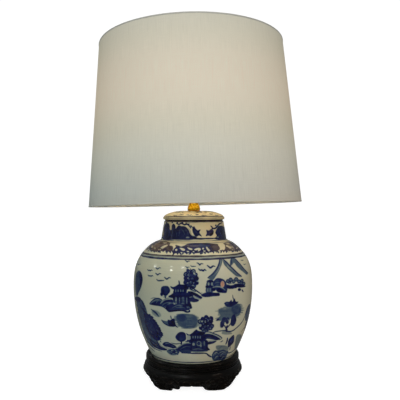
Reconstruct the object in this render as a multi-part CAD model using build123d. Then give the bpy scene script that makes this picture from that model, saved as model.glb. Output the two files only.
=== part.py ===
"""Ginger jar table lamp: a lidded blue and white porcelain jar on a carved four-foot wooden
stand, drilled through and clamped on a threaded pipe, with a turn-knob socket, a harp and a
linen hardback shade.

Millimetres. +Z is up, -Y is the front. The origin is on the floor, on the axis of the threaded
pipe that carries the lid, the socket and the harp. The jar's belly and the stand are centred
2.2 mm to the left of that axis, and the shade leans a little to the left at its top.
"""
from build123d import *
import os
from math import sin, cos, tan, pi, radians, sqrt

os.makedirs("parts", exist_ok=True)

# ---------------------------------------------------------------- driving dimensions
# stand
PAD_T = 1.5            # felt pad under each foot
PAD_R = 6.9
PAD_AT_R = 71.6        # pads on this circle
FEET = 4
FOOT_HALF_DEG = 15.0   # half the width of the part of a foot that reaches the floor, seen from the axis
LOBE_Z = 7.5           # underside of the lobe on each side of a foot
ARCH_TOP_Z = 18.4      # underside of the apron between two feet
SKIRT_TOP_Z = 41.0     # joint between the skirt and the turned top
FLOOR_Z = 51.0         # recess that the jar's foot stands in
RIM_TOP_Z = 57.0
RIM_R = 90.4
RIM_IN_R = 84.8

# jar
JAR_FOOT_Z = FLOOR_Z
JAR_BELLY_R = 115.0
BELLY_X = -2.2         # the belly and the stand stand this far off the axis of the neck and the pipe
NECK_ROOT_R, NECK_ROOT_Z = 64.0, 274.2
NECK_TOP_R, NECK_TOP_Z = 57.9, 308.7
JAR_TOP_Z = 309.3
LID_R = 59.3
LID_RIM_TOP_Z = 317.0
LID_TOP_Z = 328.5

# pipe stack
PIPE_R, PIPE_BORE_R = 5.1, 3.4
INLET_R = 2.8          # hole of the insulating bushing at the pipe's lower end
PIPE_Z0, PIPE_Z1 = 23.0, 361.5
CHECK_R, CHECK_TOP_Z = 11.7, 330.2
SADDLE_Z0, SADDLE_Z1 = 354.0, 355.3

# socket (medium screw base)
CAP_TOP_Z = 372.0
SHELL_R, SHELL_T = 16.6, 0.6
SHELL_Z0, SHELL_Z1 = 368.0, 416.0
SWITCH_Z = 383.0
SHAFT_R, SHAFT_CLEAR = 1.6, 0.08

# bulb
BULB_Z0 = 391.4
BULB_TOP_Z = 499.0
BULB_R = 30.0

# harp
WIRE_R = 1.8
LEG_X = 27.0           # legs stand this far from the pipe's axis
LEG_Z0 = 355.6
STUD_R = 3.175         # 1/4 inch stud
STUD_CLEAR = 0.085

# shade, in its own upright frame
LEAN_DEG = 1.56        # the shade and the stud lean to -X at the top
LEAN_Z = 533.0         # height where the shade's axis crosses the belly's axis
SHADE_Z0, SHADE_Z1 = 341.6, 646.3
SHADE_R0, SHADE_R1 = 203.2, 176.3
COVER_T, LINER_T = 0.7, 0.9
RING_R = 1.6           # radius of the ring wires
WASHER_Z0, WASHER_T = 627.0, 1.2
FINIAL_TOP_Z = 676.0

LEAN = Pos(BELLY_X, 0, LEAN_Z) * Rot(0, -LEAN_DEG, 0) * Pos(0, 0, -LEAN_Z)
BELLY = Pos(BELLY_X, 0, 0)


# ---------------------------------------------------------------- helpers
def turned(points):
    """A closed section of straight lines in XZ, turned about Z."""
    return revolve(Plane.XZ * make_face(Polyline(*points, close=True)), Axis.Z)


def turned_curve(*edges):
    """A closed section of any edges in XZ, turned about Z."""
    return revolve(Plane.XZ * make_face(Curve() + list(edges)), Axis.Z)


def disc(r, z0, z1):
    return Pos(0, 0, z0) * Cylinder(r, z1 - z0, align=(Align.CENTER, Align.CENTER, Align.MIN))


def tube(r_out, r_in, z0, z1):
    return disc(r_out, z0, z1) - disc(r_in, z0 - 1, z1 + 1)


def rod(p, q, r):
    """A straight round bar from p to q."""
    a, b = Vector(*p), Vector(*q)
    return extrude(Plane(origin=a, z_dir=(b - a)) * Circle(r), (b - a).length)


def block(x0, x1, y0, y1, z0, z1):
    return Pos((x0 + x1) / 2, (y0 + y1) / 2, (z0 + z1) / 2) * Box(x1 - x0, y1 - y0, z1 - z0)


def shade_r(z):
    """Outer radius of the shade's cover at height z, in the shade's frame."""
    return SHADE_R0 + (SHADE_R1 - SHADE_R0) * (z - SHADE_Z0) / (SHADE_Z1 - SHADE_Z0)


NODES = {}


def node(name, shape):
    shape.label = name
    NODES[name] = shape


# ---------------------------------------------------------------- stand
# Turned top: a floor with a recess for the jar's foot and an upstanding beaded rim.
rim = [
    (5.8, SKIRT_TOP_Z), (88.0, SKIRT_TOP_Z), (89.4, 41.9), (90.2, 43.4), (89.6, 44.9), (90.5, 46.6),
    (90.7, 48.0), (89.9, 49.6), (90.6, 51.4), (90.6, 53.0), (89.9, 55.0), (88.6, 56.5), (87.6, RIM_TOP_Z),
    (86.6, RIM_TOP_Z), (85.4, 56.3), (RIM_IN_R, 55.2), (RIM_IN_R, FLOOR_Z), (5.8, FLOOR_Z),
]
stand_top = turned(rim)
# the pipe hole follows the pipe, so it is drilled off the centre
stand_top = BELLY * (stand_top + disc(7.0, SKIRT_TOP_Z, FLOOR_Z)) - disc(5.8, SKIRT_TOP_Z - 1, FLOOR_Z + 1)
node("stand_top", stand_top)

# Carved skirt: a bulging apron that runs down into four in-curved feet. Each foot has a broad
# middle that reaches the floor and a raised lobe on both sides, next to the arches.
skirt_out = Spline((79.5, PAD_T), (81.2, 6.0), (83.8, 10.0), (87.2, 14.6), (92.0, 20.0), (95.2, 26.0),
                   (94.6, 33.0), (92.2, 38.0), (88.0, SKIRT_TOP_Z))
skirt = turned_curve(
    skirt_out,
    Polyline((88.0, SKIRT_TOP_Z), (76.0, SKIRT_TOP_Z), (79.0, 30.0), (74.5, 17.0), (64.0, PAD_T), (79.5, PAD_T)),
)
half = 360.0 / FEET / 2 - FOOT_HALF_DEG
w = 82.0 * sin(radians(half))              # half the gap between two feet at the floor
edge = [(w, -2.0), (w - 0.6, 3.5), (w - 2.4, LOBE_Z - 1.1), (w - 5.0, LOBE_Z + 0.1), (30.0, LOBE_Z), (25.6, LOBE_Z + 0.7),
        (23.6, 10.4), (22.4, 14.0), (19.0, ARCH_TOP_Z - 1.4), (13.0, ARCH_TOP_Z - 0.2), (2.2, ARCH_TOP_Z + 0.3), (0.0, ARCH_TOP_Z + 1.9)]
arch = Polyline(*edge, *[(-x, z) for x, z in edge[-2::-1]], close=True)
cutter = extrude(Plane(origin=(0, -36, 0), x_dir=(1, 0, 0), z_dir=(0, -1, 0)) * make_face(arch), 75)
for i in range(FEET):
    skirt -= Rot(0, 0, 360.0 / FEET * i) * cutter
node("stand_skirt", BELLY * skirt)

pads = [BELLY * Rot(0, 0, 45 + 90 * i) * Pos(0, -PAD_AT_R, 0) * Cylinder(PAD_R - 0.4, PAD_T, align=(Align.CENTER, Align.CENTER, Align.MIN))
        for i in range(FEET)]
node("foot_pads", Compound(children=pads))

# ---------------------------------------------------------------- jar and lid
belly_out = Spline((79.5, 52.8), (86.0, 65.0), (94.4, 84.5), (103.2, 107.9), (109.3, 131.4), (113.2, 154.8),
                   (JAR_BELLY_R, 186.1), (113.3, 213.4), (109.3, 229.0), (101.6, 244.7), (87.9, 260.3),
                   (77.0, 268.1), (66.8, 272.8))
belly_in = Spline((60.0, 268.0), (72.0, 263.2), (83.4, 255.2), (96.2, 241.0), (103.9, 226.6), (107.8, 212.4),
                  (109.5, 186.0), (107.7, 156.0), (103.9, 133.2), (97.9, 110.0), (89.3, 87.3), (81.0, 68.0), (72.0, 60.5))
belly = turned_curve(
    belly_out,
    Polyline((66.8, 272.8), (60.0, 273.4), (60.0, 268.0)),
    belly_in,
    Polyline((72.0, 60.5), (66.0, 59.5), (0.0, 59.5), (0.0, 54.0), (70.0, 54.0), (70.8, JAR_FOOT_Z), (78.2, JAR_FOOT_Z), (79.5, 52.8)),
)
# the open throat is cut on the neck's own axis
throat = turned([(0, 240.0), (57.0, 240.0), (58.2, 272.0), (53.2, JAR_TOP_Z + 5), (0, JAR_TOP_Z + 5)])
neck = turned([(0, 268.2), (62.0, 268.2), (66.0, 271.0), (NECK_ROOT_R, NECK_ROOT_Z), (NECK_TOP_R, NECK_TOP_Z),
               (57.2, JAR_TOP_Z), (0, JAR_TOP_Z)])
cavity = turned_curve(belly_in, Polyline((72.0, 60.5), (0.0, 60.5), (0.0, 268.0), (60.0, 268.0)))
jar = (BELLY * belly + (neck - BELLY * cavity)) - throat - disc(6.5, 50.0, 62.0)
node("jar_body", jar)

lid = turned_curve(
    Polyline((5.7, LID_TOP_Z), (12.0, LID_TOP_Z)),
    Spline((12.0, LID_TOP_Z), (24.0, 328.7), (38.0, 327.0), (49.0, 323.7), (55.6, 320.3), (58.2, 318.3)),
    Polyline((58.2, 318.3), (LID_R, 317.1), (LID_R, 310.4), (58.4, JAR_TOP_Z), (51.6, JAR_TOP_Z), (50.8, 301.0),
             (46.2, 301.0), (46.0, 311.0)),
    Spline((46.0, 311.0), (34.0, 317.5), (12.0, 322.4)),
    Polyline((12.0, 322.4), (5.7, 322.5), (5.7, LID_TOP_Z)),
)
node("jar_lid", lid)

# ---------------------------------------------------------------- pipe stack
node("threaded_pipe", tube(PIPE_R, PIPE_BORE_R, PIPE_Z0, PIPE_Z1))
node("bottom_washer", tube(13.0, 5.4, SKIRT_TOP_Z - 1.5, SKIRT_TOP_Z))
nut = extrude(RegularPolygon(14.3 / 2, 6, major_radius=False), 5.0)
node("bottom_nut", Pos(0, 0, SKIRT_TOP_Z - 6.5) * (nut - Pos(0, 0, 2.5) * Cylinder(PIPE_R, 8)))
node("inlet_bushing", turned([(INLET_R, 20.0), (6.4, 20.0), (7.2, 20.8), (7.2, 29.0), (PIPE_R, 29.0), (PIPE_R, PIPE_Z0), (INLET_R, PIPE_Z0)]))
node("check_ring", turned([(5.4, LID_TOP_Z), (CHECK_R, LID_TOP_Z), (CHECK_R + 0.3, 329.0), (CHECK_R + 0.3, 329.7),
                                  (CHECK_R - 0.2, CHECK_TOP_Z), (5.4, CHECK_TOP_Z)]))
node("brass_neck", turned_curve(
    Polyline((5.3, CHECK_TOP_Z), (11.7, CHECK_TOP_Z), (12.2, 330.8)),
    Spline((12.2, 330.8), (12.3, 333.6), (11.4, 337.6), (9.6, 341.4), (7.9, 345.6), (7.2, 349.6), (7.7, 352.8)),
    Polyline((7.7, 352.8), (7.7, SADDLE_Z0), (5.3, SADDLE_Z0), (5.3, CHECK_TOP_Z)),
))

# Harp saddle: a strip on the pipe with two ears that the harp's legs stand against.
ear_in, ear_t, ear_top = 23.8, 1.2, 371.0
saddle = block(-31.0, 31.0, -5.0, 5.0, SADDLE_Z0, SADDLE_Z1) + disc(10.5, SADDLE_Z0, SADDLE_Z1)
for s in (-1, 1):
    x0, x1 = sorted((s * ear_in, s * (ear_in + ear_t)))
    saddle += block(x0, x1, -4.0, 4.0, SADDLE_Z0 + 0.2, ear_top)
saddle -= disc(5.4, SADDLE_Z0 - 1, SADDLE_Z1 + 1)
node("harp_saddle", saddle)

# ---------------------------------------------------------------- socket
cap = turned([(PIPE_R, SADDLE_Z1), (7.6, SADDLE_Z1), (7.6, 359.0), (9.2, 360.2), (14.4, 362.6), (16.8, 365.6),
              (17.8, 368.2), (17.8, CAP_TOP_Z), (17.1, CAP_TOP_Z), (17.1, 368.2), (16.2, 366.0), (14.0, 363.4),
              (8.6, 361.2), (PIPE_R, 360.8)])
screw_hole = rod((0, 4.0, 357.3), (0, 12.0, 357.3), 1.3)
node("socket_cap", (cap - screw_hole))
node("socket_set_screw", (rod((0, 5.3, 357.3), (0, 9.6, 357.3), 1.3) - block(-0.3, 0.3, 8.9, 10.5, 355.5, 359.0)))

shell = turned([(SHELL_R - SHELL_T, SHELL_Z0), (SHELL_R, SHELL_Z0), (SHELL_R, 398.0), (16.9, 399.0), (16.9, 400.6), (SHELL_R, 401.6),
                (SHELL_R, SHELL_Z1 - 1.0), (SHELL_R - 0.5, SHELL_Z1), (15.7, SHELL_Z1), (15.7, SHELL_Z1 - 0.6), (SHELL_R - SHELL_T, SHELL_Z1 - 1.2)])
shaft_hole = rod((0, -10.0, SWITCH_Z), (0, -25.0, SWITCH_Z), 3.0)
node("socket_shell", (shell - shaft_hole))
node("socket_insulator", (tube(15.9, 15.1, 371.0, 413.5) - shaft_hole))

body = disc(14.9, 373.0, 389.0) - rod((0, 0.0, SWITCH_Z), (0, -20.0, SWITCH_Z), SHAFT_R + SHAFT_CLEAR)
for s in (-1, 1):
    x0, x1 = sorted((s * 10.6, s * 16.0))
    body -= block(x0, x1, -4.5, 4.5, 376.0, 386.0)
node("socket_body", body)
node("socket_screw_shell", turned([(5.0, 389.0), (14.3, 389.0), (14.3, 412.0), (13.7, 412.0), (13.7, 389.6), (5.0, 389.6)]))
node("socket_contact", (disc(3.2, 389.0, 390.2) + disc(2.0, 390.0, 391.1)))
terminals = []
for s in (-1, 1):
    x0 = s * 10.6
    head = rod((x0, 0, 381.0), (x0 + s * 2.2, 0, 381.0), 2.9)
    lo, hi = sorted((x0 + s * 1.5, x0 + s * 3.0))
    terminals.append((head - block(lo, hi, -3.2, 3.2, 380.7, 381.3)))
node("terminal_screws", Compound(children=terminals))

# turn knob and its shaft, one pair that spins in the socket's side
node("switch_shaft", rod((0, -2.0, SWITCH_Z), (0, -31.0, SWITCH_Z), SHAFT_R))
knob = rod((0, -22.5, SWITCH_Z), (0, -33.5, SWITCH_Z), 6.2)
for i in range(12):
    a = radians(30 * i)
    knob -= rod((6.5 * cos(a), -20.0, SWITCH_Z + 6.5 * sin(a)), (6.5 * cos(a), -36.0, SWITCH_Z + 6.5 * sin(a)), 0.7)
knob -= rod((0, -20.0, SWITCH_Z), (0, -31.0, SWITCH_Z), SHAFT_R)
node("switch_knob", knob)

# ---------------------------------------------------------------- bulb
node("bulb_contact", turned([(0, BULB_Z0), (2.6, BULB_Z0), (4.6, BULB_Z0 + 0.8), (9.0, BULB_Z0 + 2.6), (9.0, BULB_Z0 + 3.6), (0, BULB_Z0 + 3.6)]))
thread = [(9.0, 394.0), (11.6, 394.6)]
z = 395.4
while z < 409.0:
    thread += [(12.9, z + 0.9), (12.9, z + 1.5), (12.2, z + 2.6)]
    z += 3.6
thread += [(12.9, 410.6), (13.0, 415.0), (12.5, 415.0), (12.5, 411.0), (11.6, 396.2), (9.0, 395.8)]
node("bulb_cap", turned(thread))
glass_out = Spline((12.4, 415.2), (14.2, 419.6), (17.2, 428.0), (22.6, 441.0), (28.2, 454.0), (BULB_R, 468.0),
                   (27.8, 481.5), (21.0, 492.0), (11.0, 497.6), (0.0, BULB_TOP_Z), tangents=((0.1, 1), (-1, 0)))
glass_in = Spline((0.0, BULB_TOP_Z - 0.9), (10.8, 496.7), (20.5, 491.2), (26.9, 481.2), (BULB_R - 0.9, 468.0),
                  (27.3, 454.3), (21.7, 441.4), (16.3, 428.4), (13.3, 419.9), (11.5, 415.2), tangents=((1, 0), (-0.1, -1)))
node("bulb_glass", turned_curve(glass_out, Line((0.0, BULB_TOP_Z), (0.0, BULB_TOP_Z - 0.9)), glass_in,
                                       Polyline((11.5, 415.2), (11.5, 411.8), (12.4, 411.8), (12.4, 415.2))))

# ---------------------------------------------------------------- harp
T = radians(LEAN_DEG)


def lean_xz(a, z):
    """A point of the shade's upright frame, leaned, as X and Z."""
    dz = z - LEAN_Z
    return BELLY_X + a * cos(T) - dz * sin(T), LEAN_Z + a * sin(T) + dz * cos(T)


WIRE_TOP_Z = WASHER_Z0 - 0.05 - 1.5 - 1.6 - WIRE_R      # centre of the wire's flat top
top_x, _ = lean_xz(0, WIRE_TOP_Z)


def side(s):
    pts = []
    for a, z in ((LEG_X, LEG_Z0), (LEG_X, 398.0), (57.0, 436.0), (60.0, 520.0), (50.0, 590.0)):
        mid = top_x * max(0.0, (z - 398.0) / (WIRE_TOP_Z - 398.0))
        pts.append((mid + s * a, 0, z))
    x, z = lean_xz(s * 20.0, WIRE_TOP_Z)
    return pts + [(x, 0, z)]


left, right = side(-1), side(1)
bow = FilletPolyline(*(left + right[::-1]), radius=[40, 60, 180, 60, 20, 20, 60, 180, 60, 40])
harp_wire = sweep(Plane(origin=bow @ 0, z_dir=bow % 0) * Circle(WIRE_R), path=bow)
print("harp wire", round(harp_wire.volume, 1), "of", round(pi * WIRE_R ** 2 * bow.length, 1))
node("harp_wire", harp_wire)
plate_z0 = WIRE_TOP_Z + WIRE_R
node("harp_top_plate", LEAN * block(-9.0, 9.0, -5.0, 5.0, plate_z0, plate_z0 + 1.6))
node("harp_stud", LEAN * (disc(7.0, plate_z0 + 1.6, WASHER_Z0 - 0.05) + disc(STUD_R, WASHER_Z0 - 0.5, 648.0)))

# Locking sleeves: oblong tubes that hold each leg against its ear.
for name, s in (("left", -1), ("right", 1)):
    x0, x1 = ear_in - 0.4, LEG_X + WIRE_R + 0.4
    mid, w, d = (x0 + x1) / 2, x1 - x0, 8.8
    outer = RectangleRounded(w + 2.0, d + 2.0, 1.8)
    inner = RectangleRounded(w, d, 0.8)
    sleeve = Pos(s * mid, 0, 359.0) * extrude(outer - inner, 13.0)
    node("harp_sleeve_" + name, sleeve)

# ---------------------------------------------------------------- shade
def cone_shell(z0, z1, off_out, off_in):
    return turned([(shade_r(z0) - off_in, z0), (shade_r(z0) - off_out, z0), (shade_r(z1) - off_out, z1), (shade_r(z1) - off_in, z1)])


IN = COVER_T + LINER_T
node("shade_cover", LEAN * cone_shell(SHADE_Z0, SHADE_Z1, 0.0, COVER_T))
node("shade_liner", LEAN * cone_shell(SHADE_Z0, SHADE_Z1, COVER_T, IN))
# rings, tucked against the liner behind each rolled edge
top_ring_z, bottom_ring_z = SHADE_Z1 - 2.6, SHADE_Z0 + 2.6
top_ring_r = shade_r(top_ring_z) - IN - RING_R - 0.2
bottom_ring_r = shade_r(bottom_ring_z) - IN - RING_R - 0.2
top_ring = Pos(0, 0, top_ring_z) * Torus(top_ring_r, RING_R)
node("shade_top_ring", LEAN * top_ring)
node("shade_bottom_ring", LEAN * (Pos(0, 0, bottom_ring_z) * Torus(bottom_ring_r, RING_R)))


def rolled_edge(z_edge, up):
    """Tape folded over the shade's edge and turned in behind the ring."""
    s = 1 if up else -1
    zi = z_edge - s * 7.0
    zo = z_edge - s * 2.2
    t = 0.5
    r = shade_r
    inner = IN + 2 * RING_R + 0.45
    pts = [(r(zo), zo), (r(zo) + t, zo), (r(z_edge) + t, z_edge + s * t), (r(z_edge) - inner - t, z_edge + s * t),
           (r(zi) - inner - t, zi), (r(zi) - inner, zi), (r(z_edge) - inner, z_edge), (r(z_edge), z_edge)]
    return turned(pts)


node("shade_bottom_hem", LEAN * rolled_edge(SHADE_Z0, False))

# Spider: a drilled washer that drops on the stud, and three arms up to the top ring.
node("spider_washer", LEAN * tube(15.0, STUD_R + STUD_CLEAR, WASHER_Z0, WASHER_Z0 + WASHER_T))
arm_z = WASHER_Z0 + WASHER_T + RING_R
top_hem = rolled_edge(SHADE_Z1, True)
arms = []
for i in range(3):
    path = FilletPolyline((10.5, 0, arm_z), (34.0, 0, arm_z), (96.0, 0, top_ring_z), (top_ring_r, 0, top_ring_z), radius=[30, 30])
    arm = sweep(Plane(origin=path @ 0, z_dir=path % 0) * Circle(RING_R), path=path)
    turn = Rot(0, 0, 90 + 120 * i)
    arms.append(LEAN * (turn * arm - top_ring))
    # the tape is snipped where an arm passes through it
    top_hem -= turn * rod((top_ring_r - 8, 0, top_ring_z), (top_ring_r + 0.5, 0, top_ring_z), RING_R + 0.15)
node("spider_arms", Compound(children=arms))
node("shade_top_hem", LEAN * top_hem)

# ---------------------------------------------------------------- finial
f0 = WASHER_Z0 + WASHER_T + 0.05
finial = turned_curve(
    Polyline((STUD_R + STUD_CLEAR, f0), (8.4, f0), (8.8, f0 + 0.6), (8.8, f0 + 2.4), (8.2, f0 + 3.2)),
    Spline((8.2, f0 + 3.2), (5.6, f0 + 6.5), (4.9, f0 + 10.0), (6.2, f0 + 13.6)),
    Polyline((6.2, f0 + 13.6), (7.6, f0 + 14.4), (7.6, f0 + 16.4), (5.2, f0 + 17.6)),
    Spline((5.2, f0 + 17.6), (10.6, f0 + 23.5), (12.0, f0 + 30.0), (9.9, f0 + 37.0), (5.0, f0 + 42.0)),
    Polyline((5.0, f0 + 42.0), (3.6, f0 + 43.2)),
    Spline((3.6, f0 + 43.2), (3.4, f0 + 45.6), (0.0, FINIAL_TOP_Z), tangents=((0.3, 1), (-1, 0))),
    Polyline((0.0, FINIAL_TOP_Z), (0.0, 649.2), (STUD_R + STUD_CLEAR, 648.6), (STUD_R + STUD_CLEAR, f0)),
)
node("finial", LEAN * finial)

# ---------------------------------------------------------------- write
for name, shape in NODES.items():
    export_step(shape, f"parts/{name}.step")
print(len(NODES), "nodes")
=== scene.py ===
import math

import bpy
import numpy as np
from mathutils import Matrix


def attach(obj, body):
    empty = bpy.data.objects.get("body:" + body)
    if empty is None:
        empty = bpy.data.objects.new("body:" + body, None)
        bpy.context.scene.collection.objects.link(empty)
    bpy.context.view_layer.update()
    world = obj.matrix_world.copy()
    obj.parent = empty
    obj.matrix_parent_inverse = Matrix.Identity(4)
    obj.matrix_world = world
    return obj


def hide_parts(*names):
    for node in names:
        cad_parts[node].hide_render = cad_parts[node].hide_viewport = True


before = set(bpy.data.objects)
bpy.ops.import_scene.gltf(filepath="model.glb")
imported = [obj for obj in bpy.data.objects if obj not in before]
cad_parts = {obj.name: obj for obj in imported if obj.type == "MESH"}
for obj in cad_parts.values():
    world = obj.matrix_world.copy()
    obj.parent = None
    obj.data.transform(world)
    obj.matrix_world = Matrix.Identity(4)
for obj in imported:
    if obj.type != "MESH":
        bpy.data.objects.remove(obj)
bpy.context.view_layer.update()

scene = bpy.context.scene

# ------------------------------------------------------------------ painted decoration
# The jar is a turned form. Its surface is described by the angle phi round the axis (0 at the front,
# growing to the right) and by a, the distance along the profile from the foot upward.
PI = math.pi
BELLY = [(79.5, 52.8), (86.0, 65.0), (94.4, 84.5), (103.2, 107.9), (109.3, 131.4), (113.2, 154.8),
         (115.0, 186.1), (113.3, 213.4), (109.3, 229.0), (101.6, 244.7), (87.9, 260.3), (77.0, 268.1), (66.8, 272.8)]
NECK = [(64.9, 273.5), (64.0, 274.9), (62.4, 283.0), (60.8, 292.0), (59.3, 300.8), (58.1, 307.6), (57.9, 308.7), (57.5, 309.1)]
BELLY_X = -2.2


def smooth_line(pts, step, closed=False):
    """Points every step along a centripetal curve through pts."""
    p = np.asarray(pts, float)
    if len(p) < 3:
        n = max(int(np.ceil(np.linalg.norm(p[-1] - p[0]) / step)), 1)
        return p[0] + (p[-1] - p[0]) * np.linspace(0, 1, n + 1)[:, None]
    if closed:
        q = np.vstack([p[-1], p, p[0], p[1]])
    else:
        q = np.vstack([2 * p[0] - p[1], p, 2 * p[-1] - p[-2]])
    out = []
    for i in range(1, len(q) - 2):
        p0, p1, p2, p3 = q[i - 1], q[i], q[i + 1], q[i + 2]
        n = max(int(np.ceil(np.linalg.norm(p2 - p1) / step)), 1)
        t = np.linspace(0, 1, n, endpoint=False)[:, None]
        d1 = max(np.linalg.norm(p1 - p0), 1e-6) ** 0.5
        d2 = max(np.linalg.norm(p2 - p1), 1e-6) ** 0.5
        d3 = max(np.linalg.norm(p3 - p2), 1e-6) ** 0.5
        m1 = (p2 - p1) + d2 * ((p1 - p0) / d1 - (p2 - p0) / (d1 + d2))
        m2 = (p2 - p1) + d2 * ((p3 - p2) / d3 - (p3 - p1) / (d2 + d3))
        out.append((2 * t ** 3 - 3 * t ** 2 + 1) * p1 + (t ** 3 - 2 * t ** 2 + t) * m1
                   + (-2 * t ** 3 + 3 * t ** 2) * p2 + (t ** 3 - t ** 2) * m2)
    if not closed:
        out.append(q[-2][None])
    return np.vstack(out)


def jar_profile(step=0.35):
    belly = smooth_line(BELLY, step)
    neck = smooth_line(NECK, step)
    p = np.vstack([belly, neck])
    d = np.r_[0, np.cumsum(np.linalg.norm(np.diff(p, axis=0), axis=1))]
    n = int(d[-1] / step) + 1
    a = np.linspace(0, d[-1], n)
    return a, np.interp(a, d, p[:, 0]), np.interp(a, d, p[:, 1])


PA, PR, PZ = jar_profile()


def axis_x(z):
    """The belly stands a little to one side of the neck's axis."""
    t = np.clip((np.asarray(z, float) - 264.0) / 9.0, 0, 1)
    return BELLY_X * (1 - t * t * (3 - 2 * t))


def from_view(x, y):
    """Where a drawn point (x, y), laid out on a flat sheet in front of the jar, lands on the jar: (phi, a)."""
    x, y = np.asarray(x, float), np.asarray(y, float)
    yy = np.full_like(x, -100.0)
    for _ in range(24):
        depth = 955.0 + yy
        wx = 12.0 + (x - 200.0) * depth / 489.0
        wz = 330.0 + (210.3 - y) * depth / 489.0
        zc = np.clip(wz, PZ[0], PZ[-1])
        r = np.interp(zc, PZ, PR)
        q = (wx - axis_x(zc)) / r
        yy = 0.5 * yy - 0.5 * r * np.sqrt(np.maximum(1 - q * q, 0.0))
    lim = 0.96
    over = np.maximum(np.abs(q) - lim, 0.0)
    phi = np.sign(q) * (np.arcsin(np.minimum(np.abs(q), lim)) + over / math.sqrt(1 - lim * lim))
    return phi, np.interp(zc, PZ, PA)


def placed(cx, cy, phi0, z0, scale=1.0, flip=1.0):
    """A layout centred on (cx, cy) put round the jar at angle phi0 and height z0."""
    a0 = float(np.interp(z0, PZ, PA))

    def put(x, y):
        a = a0 - (np.asarray(y, float) - cy) * 1.86 * scale
        a = np.clip(a, PA[0], PA[-1])
        r0 = float(np.interp(a0, PA, PR))
        return phi0 + flip * (np.asarray(x, float) - cx) * 1.86 * scale / (0.5 * r0 + 0.5 * np.interp(a, PA, PR)), a
    return put


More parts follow.
